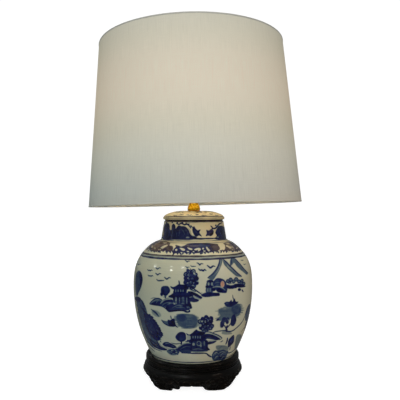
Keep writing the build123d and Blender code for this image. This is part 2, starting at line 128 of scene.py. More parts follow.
class Canvas:
    """A painted sleeve of glaze: pigment strength d, washes w and warm spots p, on a grid of phi by a."""

    def __init__(self, pa, pr, nu, pitch):
        self.pa, self.pr = pa, pr
        self.nu, self.nv = nu, int(pa[-1] / pitch) + 2
        self.pitch = pa[-1] / (self.nv - 1)
        self.d = np.zeros((self.nv, nu), np.float32)
        self.w = np.zeros((self.nv, nu), np.float32)
        self.p = np.zeros((self.nv, nu), np.float32)
        self.rows_r = np.interp(np.arange(self.nv) * self.pitch, pa, pr).astype(np.float32)
        self.put = from_view
        self.k = 1.9

    def _window(self, phi, a, reach):
        r = float(np.interp(a, self.pa, self.pr))
        du = reach / max(r, 8.0) / (2 * PI) * self.nu
        dv = reach / self.pitch
        u, v = (phi / (2 * PI) + 0.5) * self.nu, a / self.pitch
        us = np.arange(int(np.floor(u - du)), int(np.ceil(u + du)) + 1)
        vs = np.arange(max(int(np.floor(v - dv)), 0), min(int(np.ceil(v + dv)) + 1, self.nv))
        if len(vs) == 0:
            return None
        x = (us - u) / self.nu * 2 * PI * r
        y = (vs - v) * self.pitch
        return us % self.nu, vs, x[None, :], y[:, None]

    def _mix(self, us, vs, m, value, layer, mode):
        g = getattr(self, layer)
        cur = g[vs[:, None], us[None, :]]
        if mode == "max":
            cur = np.maximum(cur, m * value)
        elif mode == "over":
            cur = cur + (value - cur) * m
        elif mode == "add":
            cur = cur + (1 - cur) * m * value
        else:
            cur = cur * (1 - m * value)
        g[vs[:, None], us[None, :]] = cur

    def dot(self, phi, a, rad, value=1.0, layer="d", mode="max", soft=0.45):
        w = self._window(phi, a, rad + soft)
        if w is None:
            return
        us, vs, x, y = w
        m = np.clip((rad - np.sqrt(x * x + y * y)) / soft + 0.5, 0, 1)
        self._mix(us, vs, m, value, layer, mode)

    def line(self, pts, width, value=1.0, layer="d", mode="max", closed=False, taper=(1.0, 1.0), soft=0.45, smooth=True):
        """A brush stroke through pts in layout units. width is in the same units."""
        s = smooth_line(pts, 0.22, closed) if smooth else np.vstack([
            np.linspace(pts[i], pts[i + 1], max(int(np.hypot(pts[i + 1][0] - pts[i][0], pts[i + 1][1] - pts[i][1]) / 0.22), 1), endpoint=False)
            for i in range(len(pts) - 1)] + [np.array([pts[-1]])])
        phi, a = self.put(s[:, 0], s[:, 1])
        n = len(s)
        t = np.linspace(0, 1, n)
        prof = taper[0] + (1 - taper[0]) * np.minimum(t / 0.35, 1)
        prof = np.minimum(prof, taper[1] + (1 - taper[1]) * np.minimum((1 - t) / 0.35, 1))
        if closed:
            prof[:] = 1
        for i in range(n):
            self.dot(phi[i], a[i], max(width * self.k * 0.5 * prof[i], 0.12), value, layer, mode, soft)

    def fill(self, pts, value=1.0, layer="d", mode="max", smooth=True, soft=1):
        """A filled shape."""
        s = smooth_line(pts, 0.5, True) if smooth else np.asarray(list(pts) + [pts[0]], float)
        phi, a = self.put(s[:, 0], s[:, 1])
        phi = np.unwrap(phi)
        u, v = (phi / (2 * PI) + 0.5) * self.nu, a / self.pitch
        u0, u1 = int(np.floor(u.min())) - 2, int(np.ceil(u.max())) + 3
        v0, v1 = max(int(np.floor(v.min())) - 2, 0), min(int(np.ceil(v.max())) + 3, self.nv)
        if v1 - v0 < 2:
            return
        us, vs = np.arange(u0, u1), np.arange(v0, v1)
        inside = np.zeros((len(vs), len(us)), bool)
        n = len(u)
        for i in range(n):
            ua, va, ub, vb = u[i - 1], v[i - 1], u[i], v[i]
            if va == vb:
                continue
            lo, hi = (va, vb) if va < vb else (vb, va)
            r0, r1 = max(int(np.ceil(lo - v0)), 0), min(int(np.ceil(hi - v0)), len(vs))
            if r1 <= r0:
                continue
            cross = ua + (vs[r0:r1] - va) / (vb - va) * (ub - ua)
            inside[r0:r1] ^= us[None, :] > cross[:, None]
        m = inside.astype(np.float32)
        for _ in range(soft):
            m = soften(m)
        self._mix(us % self.nu, vs, m, value, layer, mode)

    def blob(self, cx, cy, rx, ry, value=1.0, turn=0.0, layer="d", mode="max", soft=1, bumps=0.0, seed=1):
        t = np.linspace(0, 2 * PI, 18, endpoint=False)
        q = 1 + bumps * np.sin(3 * t + seed) + bumps * 0.6 * np.sin(5 * t + 2.3 * seed)
        c, s = math.cos(turn), math.sin(turn)
        x, y = rx * q * np.cos(t), ry * q * np.sin(t)
        self.fill(np.c_[cx + c * x - s * y, cy + s * x + c * y], value, layer, mode, True, soft)

    def ring(self, z_mm, width_mm, value, wobble=0.15, seed=0.0, layer="d", mode="max", soft=0.45, phis=None):
        """A line right round the jar at height z."""
        phi = np.linspace(-PI, PI, self.nu, endpoint=False)
        a = np.interp(z_mm, PZ, PA) + wobble * (np.sin(3 * phi + seed) + 0.6 * np.sin(7 * phi + 2 * seed) + 0.4 * np.sin(17 * phi + seed))
        wid = width_mm * 0.5 * (1 + 0.16 * np.sin(5 * phi + seed) + 0.12 * np.sin(23 * phi + 3 * seed))
        rows = np.arange(self.nv)[:, None] * self.pitch
        m = np.clip((wid[None] - np.abs(rows - a[None])) / soft + 0.5, 0, 1).astype(np.float32)
        g = getattr(self, layer)
        if mode == "max":
            np.maximum(g, m * value, out=g)
        elif mode == "erase":
            g *= 1 - m * value
        else:
            g += (1 - g) * m * value


def soften(m):
    out = m.copy()
    out[1:-1] = 0.5 * m[1:-1] + 0.25 * (m[:-2] + m[2:])
    res = out.copy()
    res[:, 1:-1] = 0.5 * out[:, 1:-1] + 0.25 * (out[:, :-2] + out[:, 2:])
    return res
# ------------------------------------------------------------------ motifs, in layout units (about 1.9 mm each)
INK, DEEP, MID, PALE = 1.0, 0.86, 0.62, 0.36


def bird(c, x, y, s=1.0, kind=0):
    shapes = (
        [(-2.6, -0.9), (-1.6, -0.1), (-0.5, 0.7), (0.4, 0.1), (1.3, -0.5), (2.6, -0.2)],
        [(-2.6, -0.8), (-1.2, -0.2), (-0.2, 0.9), (0.8, 0.0), (2.6, 0.1)],
        [(-2.4, -0.7), (-1.4, 0.2), (-0.2, 0.1), (0.7, 0.6), (1.6, -0.2), (2.6, 0.5)],
        [(-3.2, -0.8), (-1.8, 0.3), (0.2, 0.3), (3.2, 0.2)],
    )
    p = [(x + s * q[0], y + s * q[1]) for q in shapes[kind % 4]]
    c.line(p, 0.95 * s, 0.80, taper=(0.5, 0.45), soft=0.6)


def cluster_tree(c, x, y, rx, ry, seed, n=17, r=1.9):
    """A tree drawn as a crowd of small rings with dark hearts."""
    rng = np.random.RandomState(seed)
    c.blob(x, y, rx * 0.96, ry * 0.94, 0.90, bumps=0.08, seed=seed, soft=2)
    spots = []
    for _ in range(400):
        t, q = rng.uniform(0, 2 * PI), math.sqrt(rng.uniform(0, 1))
        px, py = x + q * rx * math.cos(t), y + q * ry * math.sin(t)
        if all((px - a) ** 2 + (py - b) ** 2 > (1.35 * r) ** 2 for a, b in spots):
            spots.append((px, py))
        if len(spots) >= n:
            break
    t = np.linspace(0, 2 * PI, 9, endpoint=False)
    for i, (px, py) in enumerate(spots):
        rr = r * rng.uniform(0.72, 1.2)
        heart = rng.uniform()
        c.blob(px, py, rr * 0.95, rr * 0.95, 0.98 if heart < 0.45 else 0.90, bumps=0.1, seed=i)
        if heart >= 0.30:
            c.blob(px + rng.uniform(-0.2, 0.2), py + rng.uniform(-0.2, 0.2), rr * 0.74, rr * 0.70, rng.uniform(0.06, 0.40), mode="over")
        c.line(np.c_[px + rr * (1 + 0.1 * np.sin(3 * t + i)) * np.cos(t), py + rr * np.sin(t)], 0.95, 1.0, closed=True)
        c.blob(px + rng.uniform(-0.4, 0.4), py + rng.uniform(-0.4, 0.4), rr * 0.34, rr * 0.34, INK, mode="over")
    for _ in range(n // 3):
        a, q = rng.uniform(0, 2 * PI), math.sqrt(rng.uniform(0.2, 1.05))
        c.blob(x + q * rx * math.cos(a), y + q * ry * math.sin(a), r * 0.5, r * 0.42, INK if rng.uniform() < 0.7 else 0.2, mode="over")


def wash(c, rows, value, seed, ends=1.6, turn=0.0):
    """A patch of thin blue laid with a wide brush: rows of (y, x0, x1), each a soft streak of its own strength."""
    rng = np.random.RandomState(seed)
    ys = np.arange(rows[0][0], rows[-1][0] + 0.01, 0.62)
    x0 = np.interp(ys, [r[0] for r in rows], [r[1] for r in rows])
    x1 = np.interp(ys, [r[0] for r in rows], [r[2] for r in rows])
    c.fill([(a + 1.0, y) for a, y in zip(x0, ys)] + [(b - 1.0, y) for b, y in zip(x1[::-1], ys[::-1])], value * 0.82, mode="max", soft=7)
    for i, y in enumerate(ys):
        a, b = x0[i] + rng.uniform(-ends, ends), x1[i] + rng.uniform(-ends, ends)
        n = 5
        t = np.linspace(0, 1, n)
        c.line([(a + (b - a) * q, y + turn * (q - 0.5) + rng.uniform(-0.18, 0.18)) for q in t], 0.9, value * rng.uniform(0.86, 1.12), mode="max", taper=(0.25, 0.25), soft=1.5)
    for _ in range(len(ys) // 3):
        i = rng.randint(1, len(ys) - 1)
        w = x1[i] - x0[i]
        a = x0[i] + rng.uniform(0.0, 0.5) * w
        c.line([(a, ys[i]), (a + rng.uniform(0.2, 0.45) * w, ys[i] + 0.2 * turn)], 0.55, value * 0.62, mode="over", taper=(0.2, 0.2), soft=1.2)


def round_tree(c, x, y, rx, ry, seed=1, stem=1.6, lean=0.0):
    c.blob(x, y, rx, ry, 0.90, turn=lean, bumps=0.05, seed=seed)
    c.blob(x + 0.12 * rx, y + 0.02 * ry, rx * 0.62, ry * 0.66, 0.80, turn=lean, mode="over", soft=3)
    c.blob(x - 0.52 * rx, y + 0.05 * ry, rx * 0.30, ry * 0.72, 0.98, turn=lean, mode="over", soft=3)
    c.line([(x + 0.1, y + ry * 0.8), (x + 0.3, y + ry + stem * 0.5), (x + 0.1, y + ry + stem)], 1.1, INK)


def leaf(c, x0, y0, x1, y1, wide, value=0.9, bend=0.0, vein=True):
    """A pointed leaf from (x0, y0) to (x1, y1)."""
    dx, dy = x1 - x0, y1 - y0
    n = math.hypot(dx, dy)
    nx, ny = -dy / n, dx / n
    mx, my = x0 + 0.5 * dx + bend * nx, y0 + 0.5 * dy + bend * ny
    q = [(x0, y0), (x0 + 0.25 * dx + nx * (0.36 * wide + 0.7 * bend), y0 + 0.25 * dy + ny * (0.36 * wide + 0.7 * bend)),
         (mx + nx * 0.5 * wide, my + ny * 0.5 * wide),
         (x0 + 0.78 * dx + nx * (0.30 * wide + 0.7 * bend), y0 + 0.78 * dy + ny * (0.30 * wide + 0.7 * bend)), (x1, y1),
         (x0 + 0.78 * dx - nx * (0.30 * wide - 0.7 * bend), y0 + 0.78 * dy - ny * (0.30 * wide - 0.7 * bend)),
         (mx - nx * 0.5 * wide, my - ny * 0.5 * wide),
         (x0 + 0.25 * dx - nx * (0.36 * wide - 0.7 * bend), y0 + 0.25 * dy - ny * (0.36 * wide - 0.7 * bend))]
    c.fill(q, value)
    if vein:
        c.line([(x0 + 0.2 * dx, y0 + 0.2 * dy), (mx, my), (x0 + 0.85 * dx, y0 + 0.85 * dy)], 0.45, 0.35, mode="over", taper=(0.3, 0.3))


def mound(c, pts, base, seed=0, light=True, value=0.88):
    """A rock: dark fill under an arched outline, with a pale rim inside the outline."""
    pts, base = list(pts), list(base)
    c.fill(pts + base[::-1], 0.55, soft=1)
    c.fill([(p[0] * 0.72 + base[min(i, len(base) - 1)][0] * 0.28, p[1] * 0.62 + base[min(i, len(base) - 1)][1] * 0.38)
            for i, p in enumerate(pts)] + base[::-1], value, soft=2)
    if light:
        inner = [(p[0], p[1] + 1.15) for p in pts]
        c.line(inner, 0.95, 0.30, mode="over", taper=(0.3, 0.3))
    c.line(pts, 1.0, 0.95, taper=(0.6, 0.5))
    c.line(base, 0.9, 0.95, taper=(0.6, 0.6))


def windows(c, xs, y0, y1, w=1.25, value=0.30, lean=0.0):
    for x in xs:
        c.line([(x, y0), (x + lean, y1)], w, value, mode="over", smooth=False, soft=0.7)


def pavilion_one(c):
    # upper roof and its finial
    c.line([(178.4, 280.9), (178.9, 283.0), (178.8, 285.4)], 1.1, 0.92, taper=(0.6, 1))
    c.fill([(169.9, 286.3), (172.6, 287.1), (175.6, 286.0), (178.2, 284.4), (182.0, 284.6), (185.4, 284.9), (188.4, 286.4),
            (186.8, 289.0), (185.6, 292.6), (172.9, 292.6), (173.4, 289.6), (171.6, 288.6)], INK)
    c.fill([(174.0, 287.6), (178.6, 286.0), (184.6, 286.6), (184.4, 288.6), (174.6, 289.0)], 0.90, mode="over")
    windows(c, (175.3, 177.7, 180.3, 182.7), 289.9, 292.0, 1.1, 0.36)
    # middle eave
    c.fill([(167.9, 296.3), (170.6, 294.8), (173.2, 292.9), (178.0, 292.0), (184.5, 292.2), (189.0, 293.6), (193.0, 296.0),
            (191.5, 297.6), (186.0, 297.2), (176.0, 297.2), (172.6, 297.8), (169.2, 297.2)], INK)
    c.fill([(174.5, 293.8), (180.0, 293.2), (186.5, 293.8), (188.0, 295.8), (180.0, 295.6), (174.0, 296.0)], 0.91, mode="over")
    # lower room
    c.fill([(173.0, 296.8), (188.6, 296.8), (189.6, 301.5), (191.2, 307.6), (188.0, 309.2), (184.6, 308.4), (184.0, 304.0), (175.5, 304.2),
            (173.6, 302.0)], 0.97)
    c.line([(175.6, 298.0), (175.6, 303.4)], 2.0, 0.34, mode="over", smooth=False)
    c.line([(179.1, 298.0), (179.1, 302.6)], 1.25, 0.34, mode="over", smooth=False)
    c.line([(182.6, 298.2), (182.7, 303.2)], 2.5, 0.40, mode="over", smooth=False)
    c.line([(186.3, 298.0), (186.4, 303.2)], 1.15, 0.36, mode="over", smooth=False)
    c.line([(182.1, 298.6), (182.1, 302.6)], 0.4, 0.8, smooth=False)
    c.line([(183.4, 298.6), (183.4, 302.6)], 0.4, 0.8, smooth=False)
    c.line([(173.5, 301.9), (184.6, 302.2)], 0.6, 0.9)
    # floor strokes and terrace
    c.fill([(165.8, 305.6), (170.0, 304.2), (175.0, 304.4), (184.0, 304.2), (189.6, 306.0), (188.8, 309.6), (180.0, 310.4), (168.5, 310.8), (165.6, 308.6)], 0.88)
    c.line([(174.6, 305.9), (178.0, 305.3), (182.4, 305.8)], 0.9, 0.34, mode="over", taper=(0.4, 0.4))
    c.line([(171.6, 308.0), (174.4, 306.8), (177.0, 307.3), (181.6, 307.2), (184.6, 308.2)], 0.9, 0.36, mode="over", taper=(0.4, 0.4))
    c.line([(166.6, 304.2), (171.0, 303.1), (174.6, 303.4)], 0.8, 0.34, mode="over", taper=(0.4, 0.4))
    c.line([(168.0, 309.2), (178.0, 309.0), (184.8, 309.4)], 0.6, 0.42, mode="over", taper=(0.4, 0.4))
    c.line([(167.2, 309.9), (168.6, 311.3), (172.0, 310.9), (178.0, 310.2), (183.0, 310.4), (186.6, 312.0), (189.2, 311.4), (188.8, 310.2)], 1.7, INK, taper=(0.7, 0.6))
    windows(c, (186.6, 188.3), 306.7, 307.9, 1.0, 0.34, lean=0.5)
    # side room on the right with its small window
    c.fill([(188.0, 297.8), (193.6, 297.6), (194.6, 300.8), (190.0, 301.6), (188.6, 301.0)], 0.97)
    c.line([(189.2, 297.4), (191.6, 296.8)], 0.9, 0.28, mode="over")


def rocks_one(c):
    # left mound with its pale folds
    mound(c, [(149.2, 303.6), (151.5, 301.2), (154.6, 299.0), (158.6, 298.6), (161.6, 300.0)],
          [(149.6, 304.2), (153.0, 304.6), (157.0, 305.2), (160.4, 305.2)])
    c.line([(155.4, 303.6), (157.2, 301.0), (159.2, 299.6)], 0.9, 0.38, mode="over", taper=(0.4, 0.4))
    c.fill([(159.6, 305.0), (161.8, 302.6), (164.6, 300.4), (168.0, 299.6), (172.2, 299.8), (173.2, 302.0), (172.0, 306.0), (168.6, 308.6), (164.4, 306.8)], 0.90)
    c.line([(159.8, 303.8), (162.0, 301.2), (165.2, 299.0), (169.4, 298.0), (172.6, 298.4)], 1.3, 0.26, mode="over", taper=(0.5, 0.5))
    c.line([(161.6, 305.8), (164.0, 303.6), (167.6, 302.6), (171.6, 302.8)], 0.8, 0.36, mode="over", taper=(0.4, 0.4))
    c.line([(164.6, 306.4), (168.0, 304.6), (172.6, 304.8)], 0.7, 0.5, mode="over", taper=(0.4, 0.4))
    c.line([(149.8, 304.3), (154.0, 304.9), (158.6, 305.5), (162.4, 306.6), (165.4, 308.6), (167.2, 310.6)], 1.0, 0.95, taper=(0.5, 0.8))
    c.line([(150.0, 298.8), (152.6, 298.0), (156.0, 297.8)], 0.6, 0.5, taper=(0.3, 0.3))
    # right mounds running down from the pavilion
    c.line([(191.2, 286.6), (194.4, 289.6), (198.4, 292.4), (202.0, 295.0)], 0.95, 0.92, taper=(0.5, 0.5))
    c.line([(186.4, 287.0), (188.6, 288.9), (192.0, 290.4), (195.4, 291.6)], 0.9, 0.85, taper=(0.5, 0.5))
    c.line([(186.0, 287.7), (190.0, 289.4), (194.0, 290.4)], 1.2, 0.22, mode="over", taper=(0.4, 0.4))
    c.fill([(187.4, 291.6), (191.0, 291.6), (195.0, 293.0), (199.0, 295.4), (201.8, 297.6), (200.6, 298.8), (197.4, 297.4), (193.0, 295.2), (188.4, 294.0)], 0.96)
    c.line([(190.4, 297.4), (194.0, 296.9), (197.6, 298.2), (200.0, 299.8)], 1.0, 0.26, mode="over", taper=(0.4, 0.4))
    c.fill([(189.2, 299.6), (192.4, 298.2), (195.6, 298.7), (198.6, 300.2), (197.0, 301.6), (191.0, 301.7)], 0.97)
    c.blob(190.3, 307.6, 1.4, 1.2, 0.9)


def tree_one(c):
    c.line([(188.6, 285.0), (187.4, 289.0)], 1.0, 0.9)
    cluster_tree(c, 190.9, 279.4, 6.9, 8.6, 7, n=23, r=1.75)
    c.line([(186.0, 270.2), (187.2, 269.6), (188.6, 269.6)], 1.3, 0.9, taper=(0.4, 0.5))
    c.line([(190.0, 268.6), (190.7, 270.6), (191.2, 272.6)], 1.1, 0.8, taper=(0.4, 0.8))
    c.fill([(190.4, 272.9), (192.4, 272.3), (194.2, 274.4), (192.0, 275.2)], INK)
    c.blob(193.8, 273.6, 1.1, 0.9, 0.05, mode="over")
    c.blob(187.6, 278.2, 0.7, 0.7, 0.1, mode="over")


def pagoda_right(c):
    # storeyed tower
    for y0, y1, x0, x1 in ((280.2, 282.4, 206.4, 213.0), (285.2, 287.4, 205.2, 212.6)):
        c.fill([(x0, y1), (x0 + 0.6, y0 + 0.3), (x1 - 1.0, y0), (x1 + 0.3, y1 - 0.2)], INK)
    c.fill([(206.6, 282.6), (212.8, 282.6), (213.0, 285.2), (206.0, 285.2)], 0.72)
    windows(c, (208.2, 211.6), 283.0, 284.9, 1.5, 0.24)
    c.fill([(206.0, 287.6), (212.0, 287.6), (212.2, 292.4), (205.8, 292.4)], 0.62)
    windows(c, (207.4, 209.8), 288.6, 291.4, 1.1, 0.30)
    c.fill([(211.4, 288.2), (214.8, 288.2), (214.8, 290.6), (211.4, 290.6)], INK)
    # base wall
    c.fill([(200.8, 295.2), (203.8, 293.2), (208.0, 292.4), (214.0, 292.8), (218.8, 293.2), (219.2, 295.4), (213.0, 296.2), (207.0, 297.0), (202.6, 296.6)], INK)
    c.blob(201.4, 292.8, 0.9, 0.7, 0.16, mode="over")
    # round hall and garden wall
    c.fill([(213.2, 287.0), (213.4, 281.4), (216.0, 278.6), (220.0, 278.4), (224.0, 280.2), (226.2, 284.2), (226.6, 290.8), (224.0, 292.2), (217.0, 291.2), (214.6, 288.8)], 0.80)
    c.fill([(214.8, 280.6), (217.8, 279.6), (218.6, 283.6), (215.6, 284.4)], 0.66, mode="over", soft=2)
    c.line([(212.0, 287.6), (215.0, 286.8), (219.0, 286.8), (222.4, 288.2), (225.0, 290.4)], 1.1, 0.20, mode="over", taper=(0.4, 0.4))
    c.fill([(216.0, 289.0), (220.0, 288.6), (224.0, 290.6), (226.4, 290.8), (226.0, 292.6), (219.0, 292.4), (216.4, 291.2)], 0.96)
    # the one warm spot
    c.blob(222.1, 284.2, 2.1, 3.4, 0.10, mode="over", soft=3)
    c.blob(222.1, 284.2, 1.8, 3.0, 1.0, layer="p", soft=3)
    c.line([(220.8, 281.6), (222.6, 283.4), (221.4, 286.4)], 0.7, 0.34, taper=(0.4, 0.4))
    c.line([(214.2, 283.4), (217.0, 282.4), (219.6, 282.8)], 0.7, 0.34, mode="over", taper=(0.4, 0.4))
    c.line([(214.6, 285.8), (217.4, 285.0), (219.8, 285.4)], 0.7, 0.40, mode="over", taper=(0.4, 0.4))
    # far bank with its row of little trees
    c.fill([(226.4, 285.0), (230.0, 285.4), (234.6, 285.2), (236.6, 287.4), (233.0, 288.5), (228.0, 288.6), (226.0, 287.2)], INK)
    c.fill([(233.6, 284.6), (237.6, 283.8), (242.4, 284.8), (245.2, 286.4), (241.4, 287.4), (236.0, 286.8)], 0.95)
    for i, (x, y, r) in enumerate(((227.4, 281.2, 1.5), (230.2, 279.8, 1.7), (233.2, 281.4, 1.5), (235.8, 279.4, 1.8), (238.4, 281.4, 1.5),
                                   (241.6, 280.6, 1.4), (243.4, 283.6, 1.4), (229.4, 282.6, 1.2), (240.8, 283.2, 1.3))):
        t = np.linspace(0, 2 * PI, 8, endpoint=False)
        c.blob(x, y, r * 0.9, r * 0.9, 0.42)
        c.line(np.c_[x + r * np.cos(t), y + r * np.sin(t)], 0.8, 0.88, closed=True)
    c.line([(226.8, 284.2), (231.0, 283.7), (235.0, 284.0)], 0.8, 0.22, mode="over", taper=(0.4, 0.4))
    c.blob(239.0, 289.6, 1.6, 1.3, 0.95)
    c.line([(241.6, 290.0), (242.8, 291.6)], 1.2, 0.80)


def mountains(c):
    # nearer peak
    c.fill([(219.4, 258.6), (222.0, 259.0), (221.4, 264.0), (219.0, 270.0), (215.6, 276.0), (212.6, 279.8), (207.4, 278.0), (212.6, 273.4), (216.4, 268.0), (218.4, 263.6)], 0.44, soft=2)
    c.line([(219.5, 259.0), (218.6, 263.6), (216.6, 268.2), (212.8, 273.2), (207.4, 277.8)], 1.0, 0.90, taper=(0.9, 0.6), soft=0.7)
    c.fill([(222.6, 259.4), (226.0, 261.0), (231.0, 266.8), (236.4, 272.4), (241.4, 276.6), (236.6, 276.4), (231.6, 272.6), (226.8, 268.0), (223.4, 263.8)], 0.44, soft=2)
    c.line([(223.6, 259.8), (227.6, 263.8), (232.0, 268.2), (237.0, 273.0), (241.2, 276.4)], 1.3, 0.88, taper=(0.7, 0.6), soft=0.7)
    c.line([(226.8, 265.4), (229.4, 268.4)], 1.0, 0.16, mode="over", taper=(0.4, 0.4))
    c.line([(220.6, 260.6), (219.6, 266.0), (216.8, 271.6), (213.0, 276.0)], 0.7, 0.24, mode="over", taper=(0.4, 0.4))
    c.line([(225.6, 263.6), (230.6, 269.0), (236.4, 274.4)], 0.6, 0.26, mode="over", taper=(0.4, 0.4))
    c.line([(236.4, 262.4), (241.0, 267.6), (245.0, 272.6)], 0.6, 0.26, mode="over", taper=(0.4, 0.4))
    # further peak
    c.fill([(230.6, 258.8), (235.0, 258.6), (239.4, 263.4), (243.6, 268.8), (247.6, 273.4), (246.4, 274.6), (242.0, 271.4), (237.0, 267.0), (233.6, 262.8), (231.8, 264.8), (230.0, 266.0)], 0.44, soft=2)
    c.line([(235.0, 259.2), (239.0, 263.2), (243.2, 268.4), (247.4, 272.9)], 1.2, 0.88, taper=(0.7, 0.7), soft=0.7)
    c.line([(231.4, 259.0), (231.2, 262.0), (230.0, 265.6)], 0.9, 0.85, taper=(0.7, 0.6), soft=0.7)


def willow(c):
    """The tall leaning tree at the left, with its ribbed fronds."""
    c.fill([(138.4, 270.4), (140.6, 272.4), (142.2, 279.0), (141.2, 286.0), (138.6, 292.0), (136.4, 296.6), (135.2, 290.0), (135.0, 280.0), (136.2, 273.0)], 0.58)
    c.fill([(139.0, 271.6), (140.8, 272.8), (142.2, 279.0), (141.0, 285.8), (139.2, 289.0), (139.6, 282.0), (139.0, 276.0)], 0.97)
    c.fill([(134.6, 297.6), (137.6, 296.8), (140.6, 299.2), (139.6, 301.6), (136.0, 301.0)], 0.90)
    c.fill([(136.4, 299.0), (141.0, 299.6), (144.8, 306.0), (147.4, 314.0), (150.0, 326.0), (157.0, 340.0), (160.0, 347.0), (151.0, 346.0), (144.4, 334.0), (139.6, 318.0), (136.6, 306.0)], 0.46, soft=4)
    # fronds
    for i in range(7):
        o = i * 1.45
        c.line([(137.6 - 0.5 * o + 2.4, 298.6 + 0.6 * o), (141.6 - 0.55 * o + 1.0, 305.0 + 0.5 * o), (144.6 - 0.8 * o, 313.0 + 0.4 * o), (147.4 - 1.0 * o, 323.0), (151.2 - 1.2 * o, 335.0)],
               1.0, 0.78 if i % 2 else 0.92, taper=(0.4, 0.4))
    c.line([(140.0, 299.4), (143.0, 303.6), (145.4, 309.4)], 1.5, 0.97, taper=(0.5, 0.4))
    c.line([(139.6, 304.8), (142.6, 309.8), (146.4, 313.8), (151.0, 317.4), (154.6, 321.4), (158.0, 327.2), (160.9, 332.8), (161.3, 337.0)], 1.3, 0.97, taper=(0.5, 0.8))
    c.fill([(143.6, 313.2), (147.0, 314.8), (151.4, 318.0), (155.2, 322.2), (158.4, 327.8), (161.0, 333.2), (160.9, 337.2), (158.6, 340.6), (154.6, 339.6),
            (150.6, 335.6), (147.6, 330.6), (145.6, 325.4), (144.2, 319.6)], 0.86, soft=1)
    c.fill([(146.2, 319.6), (150.0, 321.0), (153.4, 326.8), (155.4, 333.0), (152.4, 334.6), (148.8, 329.6)], 0.79, mode="over", soft=3)
    c.fill([(156.8, 332.8), (159.4, 333.4), (159.6, 337.0), (157.0, 339.0), (155.6, 336.2)], 0.92, mode="over", soft=2)
    rng = np.random.RandomState(17)
    edge = [(139.6, 304.8), (142.6, 309.8), (146.4, 313.8), (151.0, 317.4), (154.6, 321.4), (158.0, 327.2), (160.9, 332.8), (161.3, 337.0)]
    e = smooth_line(edge, 1.5)
    for i in range(2, len(e) - 1):
        c.blob(e[i][0] + rng.uniform(-0.3, 0.7), e[i][1] + rng.uniform(-0.7, 0.3), rng.uniform(0.7, 1.2), rng.uniform(0.6, 1.0), rng.uniform(0.84, 1.0))
    for i in range(46):
        t, q = rng.uniform(0.06, 0.98), rng.uniform(0.0, 1.0)
        j = int(t * (len(e) - 1))
        px, py = e[j][0] - 1.2 - q * 7.5 * math.sin(PI * min(t + 0.1, 1.0)), e[j][1] + 1.6 + q * 5.0
        c.line([(px, py), (px + rng.uniform(0.6, 1.3), py + rng.uniform(1.0, 2.0))], rng.uniform(0.6, 1.1), rng.choice([0.97, 0.97, 0.62, 0.44]), mode="over", taper=(0.4, 0.4))
    for k, (dx, v) in enumerate(((0.0, 0.30), (-2.4, 0.85), (-4.0, 0.35), (-5.6, 0.85))):
        c.line([(145.6 + dx, 329.6), (148.8 + dx, 336.0), (153.2 + dx, 342.0), (158.0 + dx, 346.4)], 0.9, v, mode="over", taper=(0.4, 0.4))
    # roots and bank below
    c.fill([(149.4, 337.8), (152.6, 340.8), (156.0, 343.0), (159.0, 346.0), (164.0, 348.4), (166.6, 350.0), (161.0, 350.0), (155.4, 347.6), (151.0, 343.6)], 0.90)
    c.line([(151.0, 340.8), (154.6, 344.2), (158.0, 347.2)], 1.0, 0.30, mode="over", taper=(0.4, 0.4))
    c.line([(156.6, 340.4), (158.2, 344.0), (161.0, 347.2), (166.6, 349.6)], 1.7, 0.96, taper=(0.8, 0.4))
    c.line([(158.8, 341.6), (160.6, 345.2), (164.0, 347.6), (169.0, 349.4)], 0.8, 0.30, mode="over", taper=(0.4, 0.4))
    c.line([(147.6, 341.0), (151.4, 346.0), (156.0, 349.2), (161.4, 351.2)], 1.0, 0.88, taper=(0.5, 0.4))
    c.line([(148.0, 344.6), (151.4, 348.8), (154.6, 351.6)], 1.1, 0.80, taper=(0.5, 0.4))


def boat_one(c):
    wash(c, ((314.4, 177.0, 193.6), (316.6, 174.4, 197.4), (320.0, 175.0, 198.4), (324.0, 176.4, 198.0), (327.0, 180.0, 196.0), (328.6, 184.0, 192.0)), 0.58, 41)
    c.fill([(176.4, 315.6), (184.0, 315.0), (187.0, 319.0), (182.0, 321.6), (177.4, 319.4)], 0.64, mode="over", soft=6)
    c.line([(170.3, 315.8), (170.9, 318.6)], 0.9, 0.8, taper=(0.5, 0.8))
    c.fill([(161.2, 320.0), (163.6, 320.6), (166.6, 321.0), (168.6, 320.0), (169.4, 323.0), (168.2, 325.4), (165.6, 324.4), (163.2, 322.6)], 0.45)
    c.line([(161.2, 319.9), (163.0, 322.4), (165.6, 324.4), (169.0, 325.9), (173.0, 326.4)], 1.0, 0.93, taper=(0.5, 0.6))
    c.fill([(167.6, 319.8), (170.0, 320.2), (172.4, 318.6), (174.0, 319.0), (174.6, 322.4), (175.2, 326.0), (170.4, 326.2), (168.0, 324.0)], INK)
    c.line([(174.6, 323.6), (175.6, 326.0), (177.6, 327.4)], 1.0, 0.9, taper=(0.6, 0.4))
    c.blob(156.0, 313.6, 5.2, 2.8, 0.22, turn=0.5, mode="add", soft=5)
    c.line([(150.6, 309.2), (155.6, 313.0), (158.6, 316.6)], 1.6, 0.26, mode="add", taper=(0.3, 0.3), soft=1.4)


